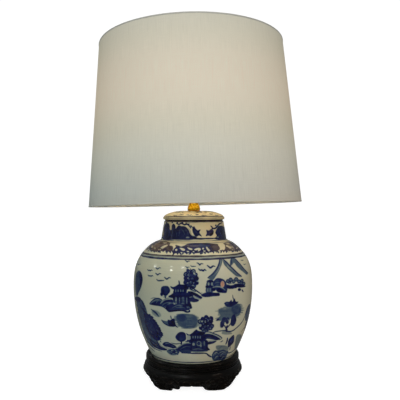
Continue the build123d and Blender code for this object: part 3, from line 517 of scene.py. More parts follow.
def low_flower(c):
    """A small blue spray beside the lower bank."""
    c.fill([(166.4, 351.0), (169.4, 349.0), (173.6, 348.8), (178.6, 350.0), (179.0, 353.0), (175.0, 355.2), (170.0, 354.6)], 0.40, soft=3)
    for x0, y0, x1, y1 in ((168.6, 350.6, 172.6, 351.6), (173.6, 349.4, 174.4, 353.6), (171.0, 353.4, 176.0, 351.0), (176.6, 350.4, 178.0, 353.0), (169.6, 352.6, 171.4, 354.4), (174.8, 353.4, 177.6, 354.6)):
        c.line([(x0, y0), ((x0 + x1) / 2 + 0.4, (y0 + y1) / 2 - 0.3), (x1, y1)], 1.5, 0.78, taper=(0.5, 0.5))
    c.blob(173.4, 352.0, 1.3, 1.0, 0.92)
    c.blob(171.6, 350.6, 0.7, 0.5, 0.12, mode="over")
    c.blob(176.0, 352.6, 0.6, 0.5, 0.14, mode="over")


def duck(c):
    c.fill([(162.4, 344.4), (163.6, 342.6), (167.0, 341.9), (170.6, 343.4), (174.6, 345.4), (176.2, 347.4), (173.0, 348.1), (168.0, 346.9), (164.4, 346.0)], 0.95)
    c.line([(164.8, 343.8), (167.4, 343.1), (169.6, 344.0)], 1.0, 0.34, mode="over", taper=(0.4, 0.4))
    c.line([(171.0, 345.6), (174.0, 346.6)], 0.7, 0.5, mode="over", taper=(0.4, 0.4))
    c.line([(171.0, 342.8), (175.0, 343.8), (180.4, 343.4)], 0.9, 0.85, taper=(0.4, 0.5))
    c.line([(161.8, 343.2), (163.6, 345.6), (167.6, 348.0), (171.6, 348.9)], 0.7, 0.30, taper=(0.4, 0.3))


def pavilion_two(c):
    # top roof
    c.fill([(185.8, 333.2), (188.6, 334.6), (191.6, 333.2), (194.4, 330.6), (196.0, 329.6), (197.6, 330.8), (201.6, 331.4), (205.0, 331.8), (204.0, 334.2),
            (200.0, 335.4), (192.8, 335.6), (188.4, 336.2)], INK)
    c.fill([(191.0, 335.0), (203.4, 334.8), (204.0, 338.8), (190.6, 339.2)], 0.93)
    windows(c, (192.6, 195.0, 197.4, 199.8), 336.2, 338.0, 1.1, 0.30)
    # lower eave
    c.fill([(186.4, 340.2), (190.0, 339.2), (197.0, 338.8), (204.6, 339.2), (207.4, 341.6), (205.6, 342.6), (190.4, 341.8)], INK)
    # room with arches
    c.fill([(189.6, 340.8), (206.0, 340.8), (206.2, 349.6), (189.8, 350.0)], 0.88)
    c.fill([(190.8, 342.4), (205.0, 342.2), (205.2, 348.4), (191.2, 348.6)], 0.78, mode="over", soft=2)
    c.blob(193.2, 344.2, 1.4, 1.6, 0.22, mode="over", soft=2)
    t = np.linspace(0, 2 * PI, 9, endpoint=False)
    c.line(np.c_[198.4 + 2.1 * np.cos(t), 343.4 + 2.1 * np.sin(t)], 0.8, 0.28, mode="over", closed=True)
    c.blob(200.4, 345.8, 1.1, 1.4, 0.30, mode="over", soft=2)
    windows(c, (203.8,), 341.4, 345.2, 1.0, 0.34)
    c.line([(195.8, 341.4), (195.8, 348.6)], 0.7, 0.98, smooth=False)
    c.line([(202.2, 341.4), (202.2, 348.6)], 0.7, 0.98, smooth=False)
    # terrace, steps and base lines
    c.fill([(190.6, 349.4), (197.0, 348.4), (206.0, 348.6), (207.4, 350.8), (190.0, 351.4)], 0.60)
    c.line([(191.0, 349.8), (197.0, 348.8), (203.6, 349.8)], 0.8, 0.32, mode="over", taper=(0.4, 0.4))
    c.line([(190.4, 351.6), (198.0, 351.6), (205.6, 351.4)], 0.9, 0.34, mode="over", taper=(0.5, 0.5))
    c.fill([(206.2, 344.6), (207.6, 347.6), (209.4, 349.8), (206.4, 350.0)], INK)
    c.line([(181.4, 352.8), (190.0, 353.2), (198.0, 353.3), (205.6, 353.4), (208.2, 355.0), (211.0, 356.8)], 1.3, INK, taper=(0.6, 0.5))
    # trunk and rocks at its left
    c.line([(190.6, 334.6), (191.2, 340.0), (190.8, 345.0), (191.4, 350.0)], 1.5, INK, taper=(0.7, 0.8))
    c.line([(185.2, 341.6), (188.4, 341.2), (191.4, 341.9)], 1.2, 0.96, taper=(0.5, 0.6))
    c.fill([(175.2, 349.0), (178.6, 346.4), (181.6, 344.6), (185.6, 343.4), (190.6, 344.2), (190.6, 350.8), (184.0, 351.6), (178.6, 350.6)], 0.85)
    c.line([(176.2, 348.6), (179.4, 346.0), (182.6, 344.0), (187.0, 342.9), (190.4, 343.4)], 1.3, 0.24, mode="over", taper=(0.5, 0.5))
    c.line([(180.0, 349.4), (183.0, 347.4), (187.0, 346.2), (190.0, 347.0)], 0.8, 0.45, mode="over", taper=(0.4, 0.4))
    c.fill([(179.4, 351.0), (184.0, 349.8), (190.0, 350.6), (190.4, 352.6), (182.0, 352.8)], 0.70, mode="over", soft=2)
    c.line([(175.4, 349.6), (180.0, 351.4), (186.0, 353.0)], 0.8, 0.8, taper=(0.4, 0.5))


def tree_two(c):
    c.line([(207.4, 330.6), (206.4, 332.6)], 1.0, 0.9)
    cluster_tree(c, 205.4, 323.8, 6.3, 7.0, 11, n=20, r=1.6)
    c.blob(205.6, 317.0, 1.5, 1.1, 0.97)
    c.line([(209.6, 316.6), (211.6, 317.6), (212.4, 319.6)], 1.6, 0.92, taper=(0.4, 0.7))
    c.blob(199.6, 325.4, 1.6, 1.6, 0.22, mode="over")
    c.blob(201.6, 321.4, 1.1, 1.1, 0.20, mode="over")


def rocks_two(c):
    c.fill([(202.0, 336.6), (204.4, 334.2), (208.4, 333.8), (213.0, 335.0), (217.4, 337.2), (219.6, 339.0), (216.0, 340.0), (211.0, 339.0), (206.0, 338.8), (203.0, 341.0)], 0.93)
    c.line([(201.8, 335.6), (203.8, 333.2), (207.6, 332.4), (212.0, 333.4), (216.6, 335.4), (220.4, 338.0)], 1.25, 0.22, mode="over", taper=(0.5, 0.5))
    c.line([(205.6, 331.4), (209.6, 332.0), (213.6, 333.6), (218.0, 335.4), (221.4, 338.2), (218.8, 339.8)], 0.75, 0.88, taper=(0.5, 0.5))
    c.line([(205.0, 337.4), (210.0, 337.8), (214.8, 339.0)], 0.6, 0.5, mode="over", taper=(0.4, 0.4))
    c.fill([(205.8, 344.2), (207.6, 341.8), (211.6, 341.2), (216.0, 341.0), (213.4, 343.0), (209.0, 344.2)], 0.97)
    c.line([(206.4, 340.8), (210.0, 340.2), (215.4, 340.4)], 0.8, 0.22, mode="over", taper=(0.4, 0.4))
    c.line([(207.4, 342.4), (211.2, 341.9), (214.0, 341.8)], 0.5, 0.45, mode="over", taper=(0.4, 0.4))


def shoreline(c):
    c.line([(211.6, 333.4), (214.4, 331.8), (219.0, 331.0), (224.4, 330.6), (228.6, 331.5), (232.2, 330.6), (236.2, 327.6), (240.6, 323.2), (243.8, 317.6), (245.2, 312.8),
            (246.6, 308.6), (248.6, 304.4)], 1.25, 0.80, taper=(0.5, 0.6), soft=0.7)
    c.fill([(222.0, 331.4), (226.0, 331.4), (230.0, 332.2), (231.6, 333.6), (226.0, 334.6), (221.0, 333.4)], 0.26, mode="add", soft=4)
    c.fill([(245.4, 312.0), (247.0, 307.0), (249.4, 304.0), (249.6, 312.0), (247.6, 320.0), (245.0, 320.6)], 0.55, mode="add", soft=3)


def boat_two(c):
    wash(c, ((304.2, 235.0, 240.6), (306.6, 224.0, 241.6), (309.4, 217.0, 242.0), (312.4, 216.8, 241.4), (315.6, 219.0, 239.4), (318.4, 216.0, 233.6), (320.4, 215.0, 224.0)), 0.54, 43, 2.0)
    c.fill([(232.0, 306.6), (238.0, 305.6), (240.0, 311.0), (235.0, 314.6), (231.0, 311.0)], 0.60, mode="over", soft=6)
    c.line([(218.0, 319.4), (216.6, 320.0)], 1.6, 0.35, mode="add", soft=1.2)
    c.line([(232.2, 295.0), (232.8, 298.4), (234.0, 300.4)], 0.9, 0.78, taper=(0.5, 0.8))
    c.fill([(223.8, 303.2), (226.2, 301.8), (229.0, 301.8), (230.8, 300.0), (231.8, 302.0), (234.2, 298.6), (235.4, 301.6), (238.0, 301.8), (236.0, 304.0), (232.4, 306.0),
            (227.0, 306.0), (224.8, 304.8)], 0.96)
    c.line([(224.6, 305.2), (228.0, 306.6), (232.0, 306.4)], 0.8, 0.9, taper=(0.5, 0.5))
    c.blob(227.0, 303.6, 1.4, 0.6, 0.66, mode="over", soft=2)


def trees_right(c):
    c.blob(221.6, 324.2, 2.0, 3.6, 0.90, turn=0.12, bumps=0.04)
    c.blob(223.9, 319.6, 2.5, 2.6, 0.86)
    c.blob(227.0, 320.6, 1.9, 3.4, 0.90, turn=0.15)
    c.blob(222.6, 322.6, 1.4, 1.8, 0.76, mode="over", soft=3)
    c.line([(226.6, 326.0), (225.8, 328.0), (226.2, 331.0)], 1.9, 0.96, taper=(0.8, 1))
    c.line([(224.0, 325.6), (225.6, 328.6)], 1.0, 0.9)
    c.line([(226.4, 327.8), (229.0, 325.0), (230.6, 322.6)], 1.2, 0.9, taper=(1, 0.6))
    c.blob(232.9, 320.4, 2.7, 5.9, 0.93, turn=0.16, bumps=0.05)
    c.blob(232.4, 318.6, 1.3, 2.8, 0.84, turn=0.16, mode="over", soft=3)
    c.line([(227.2, 318.8), (228.6, 321.8), (227.0, 324.8)], 0.9, 0.16, mode="over", taper=(0.5, 0.5))


def bank_right(c):
    c.line([(226.8, 338.2), (226.4, 341.2), (225.4, 343.8)], 1.7, 0.94, taper=(0.6, 0.8))
    leaf(c, 233.2, 335.0, 227.6, 347.4, 5.4, 0.94, vein=False)
    c.blob(231.2, 340.0, 1.3, 3.2, 0.84, turn=0.42, mode="over", soft=3)
    c.line([(229.6, 346.8), (229.2, 349.6)], 1.0, 0.85)
    c.line([(219.8, 341.8), (221.4, 341.4), (222.2, 340.4)], 0.9, 0.7, taper=(0.4, 0.6))
    c.fill([(215.4, 346.0), (220.0, 345.2), (226.6, 346.2), (228.0, 349.4), (222.0, 350.0), (216.4, 349.6)], 0.34, mode="add", soft=4)
    # terraced rocks drawn as nested arcs
    c.fill([(211.4, 356.0), (212.6, 352.6), (216.0, 350.6), (222.0, 350.0), (227.6, 351.4), (226.0, 355.6), (224.0, 359.4), (217.0, 360.6), (212.2, 359.6)], 0.60)
    for i, (x0, y0, x1, y1, h) in enumerate(((211.6, 355.0, 219.0, 353.4, 3.4), (213.0, 358.4, 220.4, 357.0, 2.9), (218.4, 355.6, 228.0, 352.6, 2.6),
                                             (217.0, 352.8, 227.6, 350.8, 1.6), (219.0, 359.4, 226.4, 356.0, 2.4), (213.6, 353.4, 218.4, 351.4, 1.4))):
        mx, my = (x0 + x1) / 2, (y0 + y1) / 2 - h
        c.line([(x0, y0), (x0 * 0.7 + x1 * 0.3 - 0.4, my + 0.35 * h), (mx, my), (x0 * 0.25 + x1 * 0.75, my + 0.4 * h), (x1, y1)], 1.05, 0.92, taper=(0.5, 0.5))
        c.line([(x0 + 0.9, y0 + 0.9), (mx, my + 1.25), (x1 - 0.9, y1 + 0.6)], 0.75, 0.22, mode="over", taper=(0.4, 0.4))
    c.blob(219.6, 357.2, 1.9, 1.0, 0.97, turn=0.4)
    c.line([(226.0, 352.8), (229.6, 352.6), (233.4, 350.0), (235.6, 347.6)], 1.4, 0.85, taper=(0.5, 0.4))
    c.line([(206.4, 354.2), (209.0, 356.2), (212.0, 357.2)], 1.0, 0.93, taper=(0.6, 0.6))
    c.fill([(236.6, 335.0), (240.6, 334.6), (240.2, 341.0), (236.6, 347.6), (234.0, 350.0), (234.4, 343.0)], 0.30, mode="add", soft=4)


def small_tree(c):
    round_tree(c, 164.9, 290.6, 4.6, 4.9, seed=3, stem=2.0)
    c.fill([(160.2, 292.6), (162.4, 294.0), (161.8, 296.2), (160.0, 295.0)], 0.93)
    c.line([(163.4, 297.2), (166.0, 295.6)], 0.8, 0.4, mode="over")


def low_tree(c):
    round_tree(c, 180.8, 336.8, 5.2, 4.9, seed=5, stem=2.4)
    c.blob(188.4, 337.6, 2.0, 2.6, 0.16, mode="over", soft=2)


FLOCK = ((149.4, 270.2, 1.0, 2), (157.6, 268.3, 1.0, 0), (150.0, 275.7, 1.05, 2), (157.8, 274.1, 1.05, 0), (167.0, 278.3, 1.2, 0), (159.8, 280.3, 1.15, 3),
         (187.0, 267.2, 0.8, 1), (199.6, 263.8, 1.2, 1), (210.8, 266.8, 1.5, 0), (201.8, 269.9, 1.5, 2), (241.6, 260.2, 0.6, 2), (244.2, 264.3, 0.6, 0),
         (192.8, 266.2, 0.8, 3), (187.0, 261.2, 0.9, 1), (138.6, 264.2, 0.7, 1))
# ------------------------------------------------------------------ borders and the whole composition
def neck_front(c):
    c.fill([(163.0, 239.2), (163.4, 232.0), (164.4, 225.4), (166.0, 223.5), (168.4, 223.4), (169.6, 225.6), (169.9, 229.8), (171.3, 229.9), (171.9, 225.4), (173.6, 223.8),
            (175.3, 225.8), (175.5, 229.5), (176.9, 227.2), (178.6, 225.6), (181.4, 226.2), (184.4, 226.4), (186.6, 227.6), (188.7, 230.2), (190.2, 234.2), (192.4, 236.8),
            (196.6, 238.4), (190.0, 239.8), (176.0, 239.6)], 0.97)
    c.fill([(172.0, 231.0), (179.0, 228.0), (186.0, 229.6), (188.0, 234.6), (183.0, 237.0), (175.0, 236.6)], 0.94, mode="over", soft=4)
    c.line([(181.0, 229.0), (183.4, 231.4), (184.6, 235.0)], 0.8, 0.62, mode="over", taper=(0.3, 0.3))
    for x0, y0, x1, y1 in ((166.4, 226.0, 165.6, 233.0), (168.4, 228.0, 168.6, 236.0), (172.6, 228.0, 171.4, 236.4), (175.6, 231.0, 176.4, 237.4), (179.4, 229.4, 178.6, 236.0), (186.6, 231.0, 188.0, 235.6)):
        c.line([(x0, y0), ((x0 + x1) / 2 + 0.5, (y0 + y1) / 2), (x1, y1)], 0.7, 0.66, mode="over", taper=(0.3, 0.3))
    c.line([(185.0, 228.8), (187.0, 231.6)], 0.7, 0.62, mode="over", taper=(0.3, 0.3))
    c.line([(176.4, 223.2), (178.8, 224.3), (181.4, 223.3), (184.4, 224.6), (187.0, 224.2), (189.4, 226.0), (190.6, 228.0)], 1.5, 0.95, taper=(0.6, 0.6))
    for x, y in ((177.4, 222.5), (182.6, 222.6), (186.0, 223.2), (188.9, 224.2), (166.6, 222.8), (172.2, 222.6)):
        c.blob(x, y, 0.7, 0.6, 0.90)
    # this pale patch and the pale streak after the next stroke are painted reflections of a light in the neck's glaze
    c.blob(187.7, 237.6, 2.0, 1.1, 0.30, mode="over", soft=2)
    c.line([(189.4, 233.6), (191.6, 236.0), (195.0, 237.4), (197.4, 238.6)], 1.8, 0.97, taper=(0.6, 0.5))
    c.line([(188.4, 228.4), (190.0, 230.6), (191.2, 234.4), (193.4, 236.2)], 1.2, 0.16, mode="over", taper=(0.4, 0.4))
    c.fill([(192.4, 228.4), (194.0, 226.3), (195.6, 228.6), (197.6, 230.4), (200.4, 229.7), (199.4, 232.6), (201.8, 236.4), (198.8, 235.5), (196.2, 236.7), (193.4, 233.4)], 0.97)
    c.line([(194.6, 229.6), (196.4, 232.4), (199.0, 234.6)], 0.6, 0.62, mode="over", taper=(0.3, 0.3))
    c.line([(190.8, 225.8), (192.2, 227.2)], 1.0, 0.9)
    c.fill([(205.9, 236.0), (206.9, 233.0), (206.3, 230.1), (209.0, 230.6), (211.2, 229.1), (213.6, 230.8), (213.1, 234.2), (210.8, 236.0), (208.4, 235.5)], 0.97)
    c.line([(208.0, 233.6), (210.0, 232.4), (212.2, 232.6)], 0.6, 0.66, mode="over", taper=(0.3, 0.3))
    c.line([(210.8, 226.0), (212.4, 227.9), (211.8, 229.8)], 1.4, 0.93, taper=(0.6, 0.8))
    c.line([(212.0, 228.6), (215.2, 228.3), (217.6, 226.0), (219.6, 223.7), (221.8, 222.8)], 1.5, 0.93, taper=(0.6, 0.6))
    c.blob(215.8, 225.4, 0.8, 0.7, 0.88)
    c.fill([(215.2, 238.8), (216.8, 235.6), (215.4, 232.8), (216.8, 229.0), (218.8, 226.2), (221.6, 225.8), (224.6, 227.6), (225.4, 233.0), (225.8, 239.2)], 0.95)
    c.blob(217.6, 237.3, 1.4, 0.8, 0.28, mode="over", soft=2)
    c.line([(219.0, 229.0), (220.2, 233.0), (221.8, 236.0)], 0.6, 0.70, mode="over", taper=(0.3, 0.3))


def neck_back(c, phi0, flip):
    c.put, c.k = placed(195.0, 232.4, phi0, 291.0, 1.0, flip), 1.86
    neck_front(c)
    c.put, c.k = from_view, 1.9


def tinted(c, pts, value, tint, soft=1, mode="max"):
    c.fill(pts, value, mode=mode, soft=soft)
    c.fill(pts, tint, layer="w", mode="over", soft=soft + 1)


def cloud(c):
    """The broad lobed flower head of the shoulder border."""
    c.fill([(172.6, 252.4), (173.4, 249.0), (175.4, 246.8), (175.0, 245.0), (177.6, 245.6), (180.6, 246.6), (184.0, 245.6), (186.6, 244.2), (193.0, 243.3), (200.0, 243.1),
            (207.0, 243.3), (212.6, 243.7), (217.6, 244.4), (218.0, 246.6), (219.6, 248.6), (217.0, 251.0), (213.0, 251.4), (209.0, 252.6), (203.0, 252.2), (198.0, 253.0), (192.0, 252.6),
            (186.6, 253.4), (181.0, 252.0), (177.4, 253.2)], 0.94)
    c.fill([(189.0, 245.0), (196.0, 244.4), (204.0, 244.5), (211.0, 245.4), (208.0, 246.8), (200.0, 246.6), (192.0, 246.8)], 0.76, mode="over", soft=2)
    c.fill([(212.0, 245.6), (217.6, 245.2), (219.6, 248.6), (216.6, 250.4), (213.0, 249.4)], 0.72, mode="over", soft=2)
    c.fill([(212.0, 245.2), (218.2, 244.8), (220.2, 248.8), (216.6, 251.0), (212.4, 250.0)], 0.9, layer="w", mode="over", soft=3)
    for q in ([(179.0, 247.9), (181.6, 247.9), (184.8, 249.5), (184.0, 250.9), (181.6, 250.6), (180.0, 249.4)], [(186.6, 247.3), (188.8, 247.7), (192.2, 249.0), (191.6, 250.0), (188.2, 249.3)],
              [(193.6, 249.6), (195.8, 248.3), (199.4, 248.0), (200.6, 249.3), (199.4, 250.9), (197.4, 251.4), (197.8, 249.9), (195.4, 250.5)], [(205.6, 247.0), (206.8, 246.9), (208.4, 248.8), (210.0, 250.4), (208.6, 251.6), (206.6, 249.6)],
              [(174.6, 249.6), (176.4, 248.8), (177.0, 250.2), (175.2, 251.2)], [(201.8, 248.2), (203.4, 247.8), (203.8, 249.0), (202.4, 249.7)], [(186.0, 251.2), (188.0, 250.8), (189.0, 251.9), (187.0, 252.3)],
              [(180.6, 245.3), (183.2, 244.4), (185.2, 244.2), (183.0, 245.6)], [(202.6, 250.8), (204.4, 250.4), (205.6, 251.2), (203.8, 251.8)], [(192.0, 251.4), (193.4, 250.9), (194.4, 251.8), (192.8, 252.2)]):
        c.fill(q, 0.02, mode="over")
    c.line([(184.4, 248.2), (187.2, 250.4), (191.6, 251.0)], 0.9, INK, taper=(0.4, 0.4))
    c.line([(193.0, 250.6), (195.4, 251.8), (199.0, 251.8), (201.6, 250.2)], 1.0, INK, taper=(0.4, 0.4))
    for x0, y0, x1, y1 in ((179.0, 252.6, 180.6, 255.0), (174.0, 252.4, 171.6, 255.4), (176.6, 252.8, 177.0, 254.4), (185.0, 252.6, 186.6, 254.2), (190.4, 252.8, 188.4, 254.4), (194.6, 252.8, 197.4, 252.4),
                           (200.0, 253.6, 202.6, 252.8), (199.6, 251.6, 200.6, 254.4), (206.0, 251.8, 208.4, 253.2), (211.0, 251.2, 213.6, 252.7), (182.4, 252.6, 181.6, 254.4), (216.0, 250.8, 217.8, 252.4),
                           (192.6, 253.0, 193.6, 254.2), (204.0, 252.4, 204.6, 253.8)):
        c.line([(x0, y0), ((x0 + x1) / 2 + 0.5, (y0 + y1) / 2), (x1, y1)], 1.3, 0.94, taper=(0.8, 0.4))


def side_flower(c, x=160.6, y=247.0, s=1.0, flip=1.0):
    """A lower spray of leaves beside a flower head."""
    def q(*pts):
        return [(x + flip * s * a, y + s * b) for a, b in pts]
    tinted(c, q((-12.0, 1.6), (-10.6, -2.6), (-6.0, -5.4), (1.0, -6.0), (6.4, -5.4), (9.6, -3.8), (8.4, -1.8), (11.6, -0.6), (12.0, 2.4), (9.0, 4.6), (4.0, 3.6), (-2.0, 4.4), (-8.0, 4.2)), 0.80, 0.85)
    c.fill(q((-10.6, 0.0), (-7.4, -3.8), (-1.0, -5.0), (-2.6, -2.2), (-6.0, 0.4)), 0.66, mode="over", soft=3)
    c.fill(q((6.0, -1.2), (9.6, 0.2), (10.6, 2.6), (7.0, 3.2), (4.4, 1.0)), 0.93, mode="over", soft=1)
    c.fill(q((-0.6, 1.2), (0.6, -0.2), (3.4, -1.6), (6.4, -2.4), (6.8, -1.4), (3.8, 0.4), (1.6, 1.9)), 0.02, mode="over")
    c.fill(q((-7.0, 1.2), (-5.8, 0.4), (-5.2, 1.6), (-6.0, 2.6)), 0.02, mode="over")
    c.fill(q((-10.2, -0.2), (-8.4, -1.6), (-8.0, -0.4), (-9.2, 0.8)), 0.22, mode="over")
    c.fill(q((2.0, -4.2), (5.6, -4.6), (7.0, -4.0), (3.6, -3.4)), 0.10, mode="over")
    c.fill(q((-3.4, 2.6), (-1.4, 2.0), (0.2, 2.8), (-1.8, 3.5)), 0.05, mode="over")
    c.line(q((-9.4, -1.8), (-6.0, -3.8), (-1.0, -4.8), (3.0, -3.6)), 0.9, 0.95, taper=(0.4, 0.4))
    c.line(q((-5.4, -0.4), (-3.0, -2.0), (0.6, -2.8)), 0.8, 0.95, taper=(0.4, 0.4))
    c.line(q((-4.6, 2.0), (-1.4, 1.4), (1.6, 2.6), (4.6, 2.0)), 1.1, 0.96, taper=(0.4, 0.4))
    c.line(q((5.2, 0.8), (7.4, 1.6), (9.6, 1.4)), 0.6, 0.5, mode="over", taper=(0.3, 0.3))
    for a, b, d, e in ((-7.6, 3.6, -6.4, 5.4), (-5.4, 4.0, -4.6, 5.0), (-2.8, 4.4, -0.4, 5.6), (1.4, 3.8, 2.6, 4.6), (5.0, 3.6, 6.0, 6.4), (8.4, 4.2, 9.4, 6.0), (10.8, 3.0, 12.6, 6.8), (-10.0, 3.4, -9.6, 4.8)):
        c.line(q((a, b), ((a + d) / 2 + 0.4, (b + e) / 2), (d, e)), 1.3, 0.90, taper=(0.8, 0.4))


def shoulder_fringe(c, lo, hi, seed):
    """Small hooked marks hanging under the flower border, between two angles."""
    rng = np.random.RandomState(seed)
    phi = lo
    while phi < hi:
        z = 256.6 + rng.uniform(-1.2, 1.2)
        r = float(np.interp(z, PZ, PR))
        c.put, c.k = placed(0.0, 0.0, phi, z, 1.0, 1.0), 1.86
        h = rng.uniform(0.8, 1.9)
        c.line([(-0.8, -h), (0.3, -0.2 * h), (rng.uniform(-0.8, 0.9), h)], 0.95, 0.86, taper=(0.9, 0.4))
        if rng.uniform() < 0.4:
            c.line([(-1.3, 0.6), (0.4, -0.1), (1.5, 0.5)], 0.7, 0.78, taper=(0.4, 0.4))
        phi += rng.uniform(3.4, 7.4) / r
    c.put, c.k = from_view, 1.9


def paint_jar():
    c = Canvas(PA, PR, 2000, 0.37)
    # border of the neck
    neck_front(c)
    neck_back(c, math.radians(180), -1.0)
    for phi in (112, -112):
        c.put, c.k = placed(203.0, 232.0, math.radians(phi), 290.5, 1.0, 1.0 if phi > 0 else -1.0), 1.86
        c.fill([(196.0, 238.6), (197.0, 232.0), (199.6, 228.4), (204.0, 226.6), (208.6, 228.0), (211.0, 232.6), (211.4, 238.6)], 0.95)
        c.line([(201.0, 229.6), (203.6, 232.6), (205.0, 236.4)], 0.8, 0.66, mode="over", taper=(0.3, 0.3))
        c.line([(197.0, 226.2), (200.0, 224.2), (203.0, 224.6), (206.4, 223.6), (210.0, 225.0)], 1.4, 0.92, taper=(0.5, 0.5))
    c.put, c.k = from_view, 1.9
    c.ring(277.9, 2.3, 0.96, 0.18, 1.0)
    c.ring(273.9, 1.4, 0.42, 0.1, 4.0, mode="add")
    c.ring(270.6, 1.0, 0.55, 0.12, 6.0)
    # border of the shoulder
    cloud(c)
    side_flower(c, 160.4, 247.0, 1.0, 1.0)
    side_flower(c, 231.4, 247.2, 0.86, -1.0)
    c.fill([(220.6, 244.6), (223.6, 244.0), (225.0, 246.0), (224.4, 249.8), (221.6, 250.4), (220.4, 248.0)], 0.02, mode="over")
    c.line([(229.6, 245.8), (232.0, 247.0), (234.8, 248.6)], 1.1, 0.05, mode="over", taper=(0.4, 0.4))
    for phi, fl in ((180, 1.0), (128, -1.0), (-128, 1.0)):
        c.put, c.k = placed(194.0, 248.4, math.radians(phi), 261.5, 0.80, fl), 1.5
        cloud(c)
    for phi, fl in ((90, 1.0), (-90, -1.0), (155, 1.0), (-155, -1.0)):
        c.put, c.k = placed(0.0, 0.0, math.radians(phi), 261.5, 0.95, fl), 1.75
        side_flower(c, 0.0, 0.0)
    c.put, c.k = from_view, 1.9
    shoulder_fringe(c, math.radians(-78), math.radians(-22), 4)
    shoulder_fringe(c, math.radians(24), math.radians(78), 5)
    shoulder_fringe(c, math.radians(80), math.radians(280), 6)
    # the double line under the border
    c.ring(246.9, 3.0, 0.22, 0.10, 3.0)
    c.ring(249.4, 2.7, 1.0, 0.12, 2.0)
    c.ring(244.4, 2.7, 1.0, 0.12, 5.0)
    c.ring(249.4, 2.9, 0.9, 0.12, 2.0, layer="w")
    # shadow line under the lid
    c.ring(308.9, 1.6, 1.0, 0.05, 2.0)
    c.ring(308.9, 1.8, 0.9, 0.05, 2.0, layer="w")
    # front landscape
    for x, y, s, kind in FLOCK:
        bird(c, x, y, s, kind)
    mountains(c)
    willow(c)
    rocks_one(c)
    tree_one(c)
    pavilion_one(c)
    small_tree(c)
    pagoda_right(c)
    boat_one(c)
    duck(c)
    low_flower(c)
    boat_two(c)
    shoreline(c)
    trees_right(c)
    tree_two(c)
    rocks_two(c)
    pavilion_two(c)
    low_tree(c)
    bank_right(c)
    # sides and back: the same landscape carried on round the jar
    def around(fn, cx, cy, deg, z0, scale=1.0, flip=1.0):
        c.put, c.k = placed(cx, cy, math.radians(deg), z0, scale, flip), 1.86 * scale
        fn(c)

    around(mountains, 226.0, 268.0, 128, 224, 1.15, -1.0)
    around(mountains, 226.0, 268.0, -152, 222, 1.2, 1.0)
    around(rocks_one, 176.0, 300.0, 176, 158, 1.15, -1.0)
    around(tree_one, 191.0, 279.0, 160, 191, 1.15, -1.0)
    around(pavilion_one, 179.0, 296.0, 176, 168, 1.15, -1.0)
    around(pagoda_right, 222.0, 286.0, 112, 196, 1.05, 1.0)
    around(willow, 148.0, 312.0, -116, 146, 1.0, -1.0)
    around(boat_two, 229.0, 308.0, 98, 150, 1.1, -1.0)
    around(boat_one, 182.0, 322.0, -150, 118, 1.1, -1.0)
    around(rocks_two, 212.0, 338.0, 118, 96, 1.1, -1.0)
    around(tree_two, 205.5, 324.0, 132, 116, 1.15, -1.0)
    around(pavilion_two, 196.0, 341.0, 146, 88, 1.0, -1.0)
    around(shoreline, 232.0, 322.0, 84, 128, 1.1, 1.0)
    around(trees_right, 228.0, 321.0, 76, 116, 1.0, -1.0)
    around(bank_right, 222.0, 348.0, 92, 80, 1.0, 1.0)
    around(bank_right, 222.0, 348.0, -172, 84, 1.1, -1.0)
    around(trees_right, 228.0, 321.0, -168, 108, 1.15, 1.0)
    around(small_tree, 164.9, 290.6, -132, 186, 1.2, 1.0)
    around(rocks_two, 212.0, 338.0, -84, 176, 1.1, 1.0)
    around(duck, 169.0, 345.0, -92, 92, 1.1, -1.0)
    around(low_tree, 181.0, 337.0, 158, 118, 1.1, 1.0)
    for i, (deg, z) in enumerate(((100, 222), (106, 214), (160, 226), (168, 219), (176, 229), (-176, 216), (-120, 226), (-112, 218), (-104, 226), (-96, 214), (84, 214), (-128, 208),
                                  (-84, 204), (150, 214))):
        c.put, c.k = placed(0.0, 0.0, math.radians(deg), z, 1.0, 1.0), 1.86
        bird(c, 0.0, 0.0, 1.15, i)
    c.put, c.k = from_view, 1.9
    # line above the foot
    c.ring(58.4, 1.5, 0.95, 0.15, 7.0)
    c.d = soften(c.d)
    return c

# ------------------------------------------------------------------ mesh helpers
def mesh_object(name, verts, faces, uv=None, values=None, smooth=True, sharp=None):
    """An object from vertices in millimetres and quads (rows of four; a repeated last index is a triangle)."""
    verts = np.asarray(verts, np.float64) * 0.001
    faces = np.asarray(faces, np.int64)
    me = bpy.data.meshes.new(name)
    tri = faces[:, 3] == faces[:, 2]
    counts = np.where(tri, 3, 4)
    keep = np.ones(faces.shape, bool)
    keep[tri, 3] = False
    loops = faces[keep]
    me.vertices.add(len(verts))
    me.vertices.foreach_set("co", verts.astype(np.float32).ravel())
    me.loops.add(len(loops))
    me.loops.foreach_set("vertex_index", loops.astype(np.int32))
    me.polygons.add(len(faces))
    me.polygons.foreach_set("loop_start", np.r_[0, np.cumsum(counts)[:-1]].astype(np.int32))
    me.update(calc_edges=True)
    me.polygons.foreach_set("use_smooth", np.full(len(faces), smooth))
    if uv is not None:
        layer = me.uv_layers.new(name="OFBake")
        layer.data.foreach_set("uv", np.asarray(uv, np.float32)[keep].ravel())
    for key, val in (values or {}).items():
        at = me.attributes.new(key, "FLOAT", "POINT")
        at.data.foreach_set("value", np.asarray(val, np.float32).ravel())
    me.validate()
    if sharp:
        me.set_sharp_from_angle(angle=math.radians(sharp))
    o = bpy.data.objects.new(name, me)
    scene.collection.objects.link(o)
    return o


